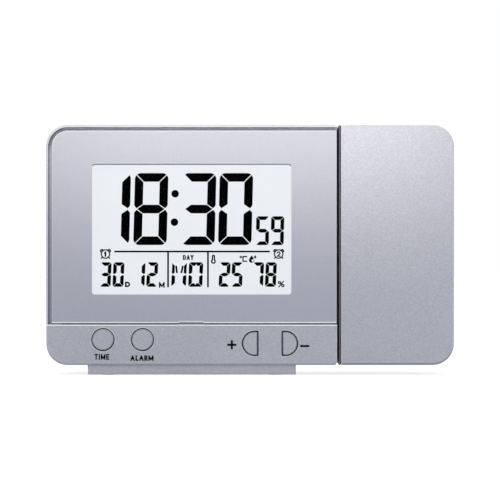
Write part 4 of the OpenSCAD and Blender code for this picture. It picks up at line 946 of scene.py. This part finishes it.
def addFloor():
    floor = dict(sizeInMetres=6.0, color=(0.7, 0.7, 0.71), lift=0.75)
    half = floor["sizeInMetres"] / 2
    mesh = bpy.data.meshes.new("floor")
    mesh.from_pydata([(-half, -half, 0), (half, -half, 0), (half, half, 0), (-half, half, 0)], [],
                     [(0, 1, 2, 3)])
    mesh.materials.append(floorPaper(floor["color"], floor["lift"]))
    sheet = bpy.data.objects.new("floor", mesh)
    bpy.context.scene.collection.objects.link(sheet)


def addWorld():
    sky = dict(fill=(0.93, 0.95, 1.0, 1.0), strength=0.55, seen=(1.0, 1.0, 1.0, 1.0), seenStrength=1.0)
    world = bpy.data.worlds.new("studio")
    bpy.context.scene.world = world
    world.use_nodes = True
    tree = world.node_tree
    background = tree.nodes["Background"]
    seen = seenRays(tree)
    tree.links.new(mixColors(tree, seen, sky["fill"], sky["seen"]), background.inputs["Color"])
    strength = mapRange(tree, seen, target=(sky["strength"], sky["seenStrength"]))
    tree.links.new(strength, background.inputs["Strength"])


# the places and sizes of the lamps are in metres
lamps = {
    "softbox": dict(place=(-0.004, -0.42, 0.11), aim=(-0.004, 0.0, 0.11), size=(0.184, 0.05), power=0.0457,
                    spread=20.8, color=(1.0, 0.96, 0.84), mirrored=False),
    "rear": dict(place=(0.0, 0.6, 0.6), aim=(0.0, 0.0, 0.05), size=(0.6, 0.4), power=1.3),
}


def addLamp(name, place, aim, size, power, spread=180.0, color=(1.0, 1.0, 1.0), mirrored=True):
    lamp = bpy.data.lights.new(name, "AREA")
    lamp.shape = "RECTANGLE"
    lamp.size, lamp.size_y = size
    lamp.energy = power
    lamp.spread = math.radians(spread)
    lamp.color = color
    holder = bpy.data.objects.new(name, lamp)
    bpy.context.scene.collection.objects.link(holder)
    holder.location = place
    holder.rotation_euler = (Vector(aim) - Vector(place)).to_track_quat("-Z", "Y").to_euler()
    holder.visible_glossy = mirrored
    holder.visible_transmission = mirrored


def addCamera():
    # straight from the front, and far enough off for the frame to take in the given width
    view = dict(frameWidth=189.85, across=-0.05, level=47.54, lens=150.0, reachInMetres=20.0)
    data = bpy.data.cameras.new("camera")
    data.lens = view["lens"]
    data.clip_end = view["reachInMetres"]
    distance = view["frameWidth"] / 2 / (data.sensor_width / 2 / data.lens)
    camera = bpy.data.objects.new("camera", data)
    bpy.context.scene.collection.objects.link(camera)
    camera.location = Vector((view["across"], stripFront - distance, view["level"])) * mm
    camera.rotation_euler = (math.radians(90), 0, 0)
    bpy.context.scene.camera = camera


addFloor()
addWorld()
for lampName, lampLook in lamps.items():
    addLamp(lampName, **lampLook)
addCamera()
bpy.context.scene.view_settings.view_transform = "Standard"
print("surroundings ready")
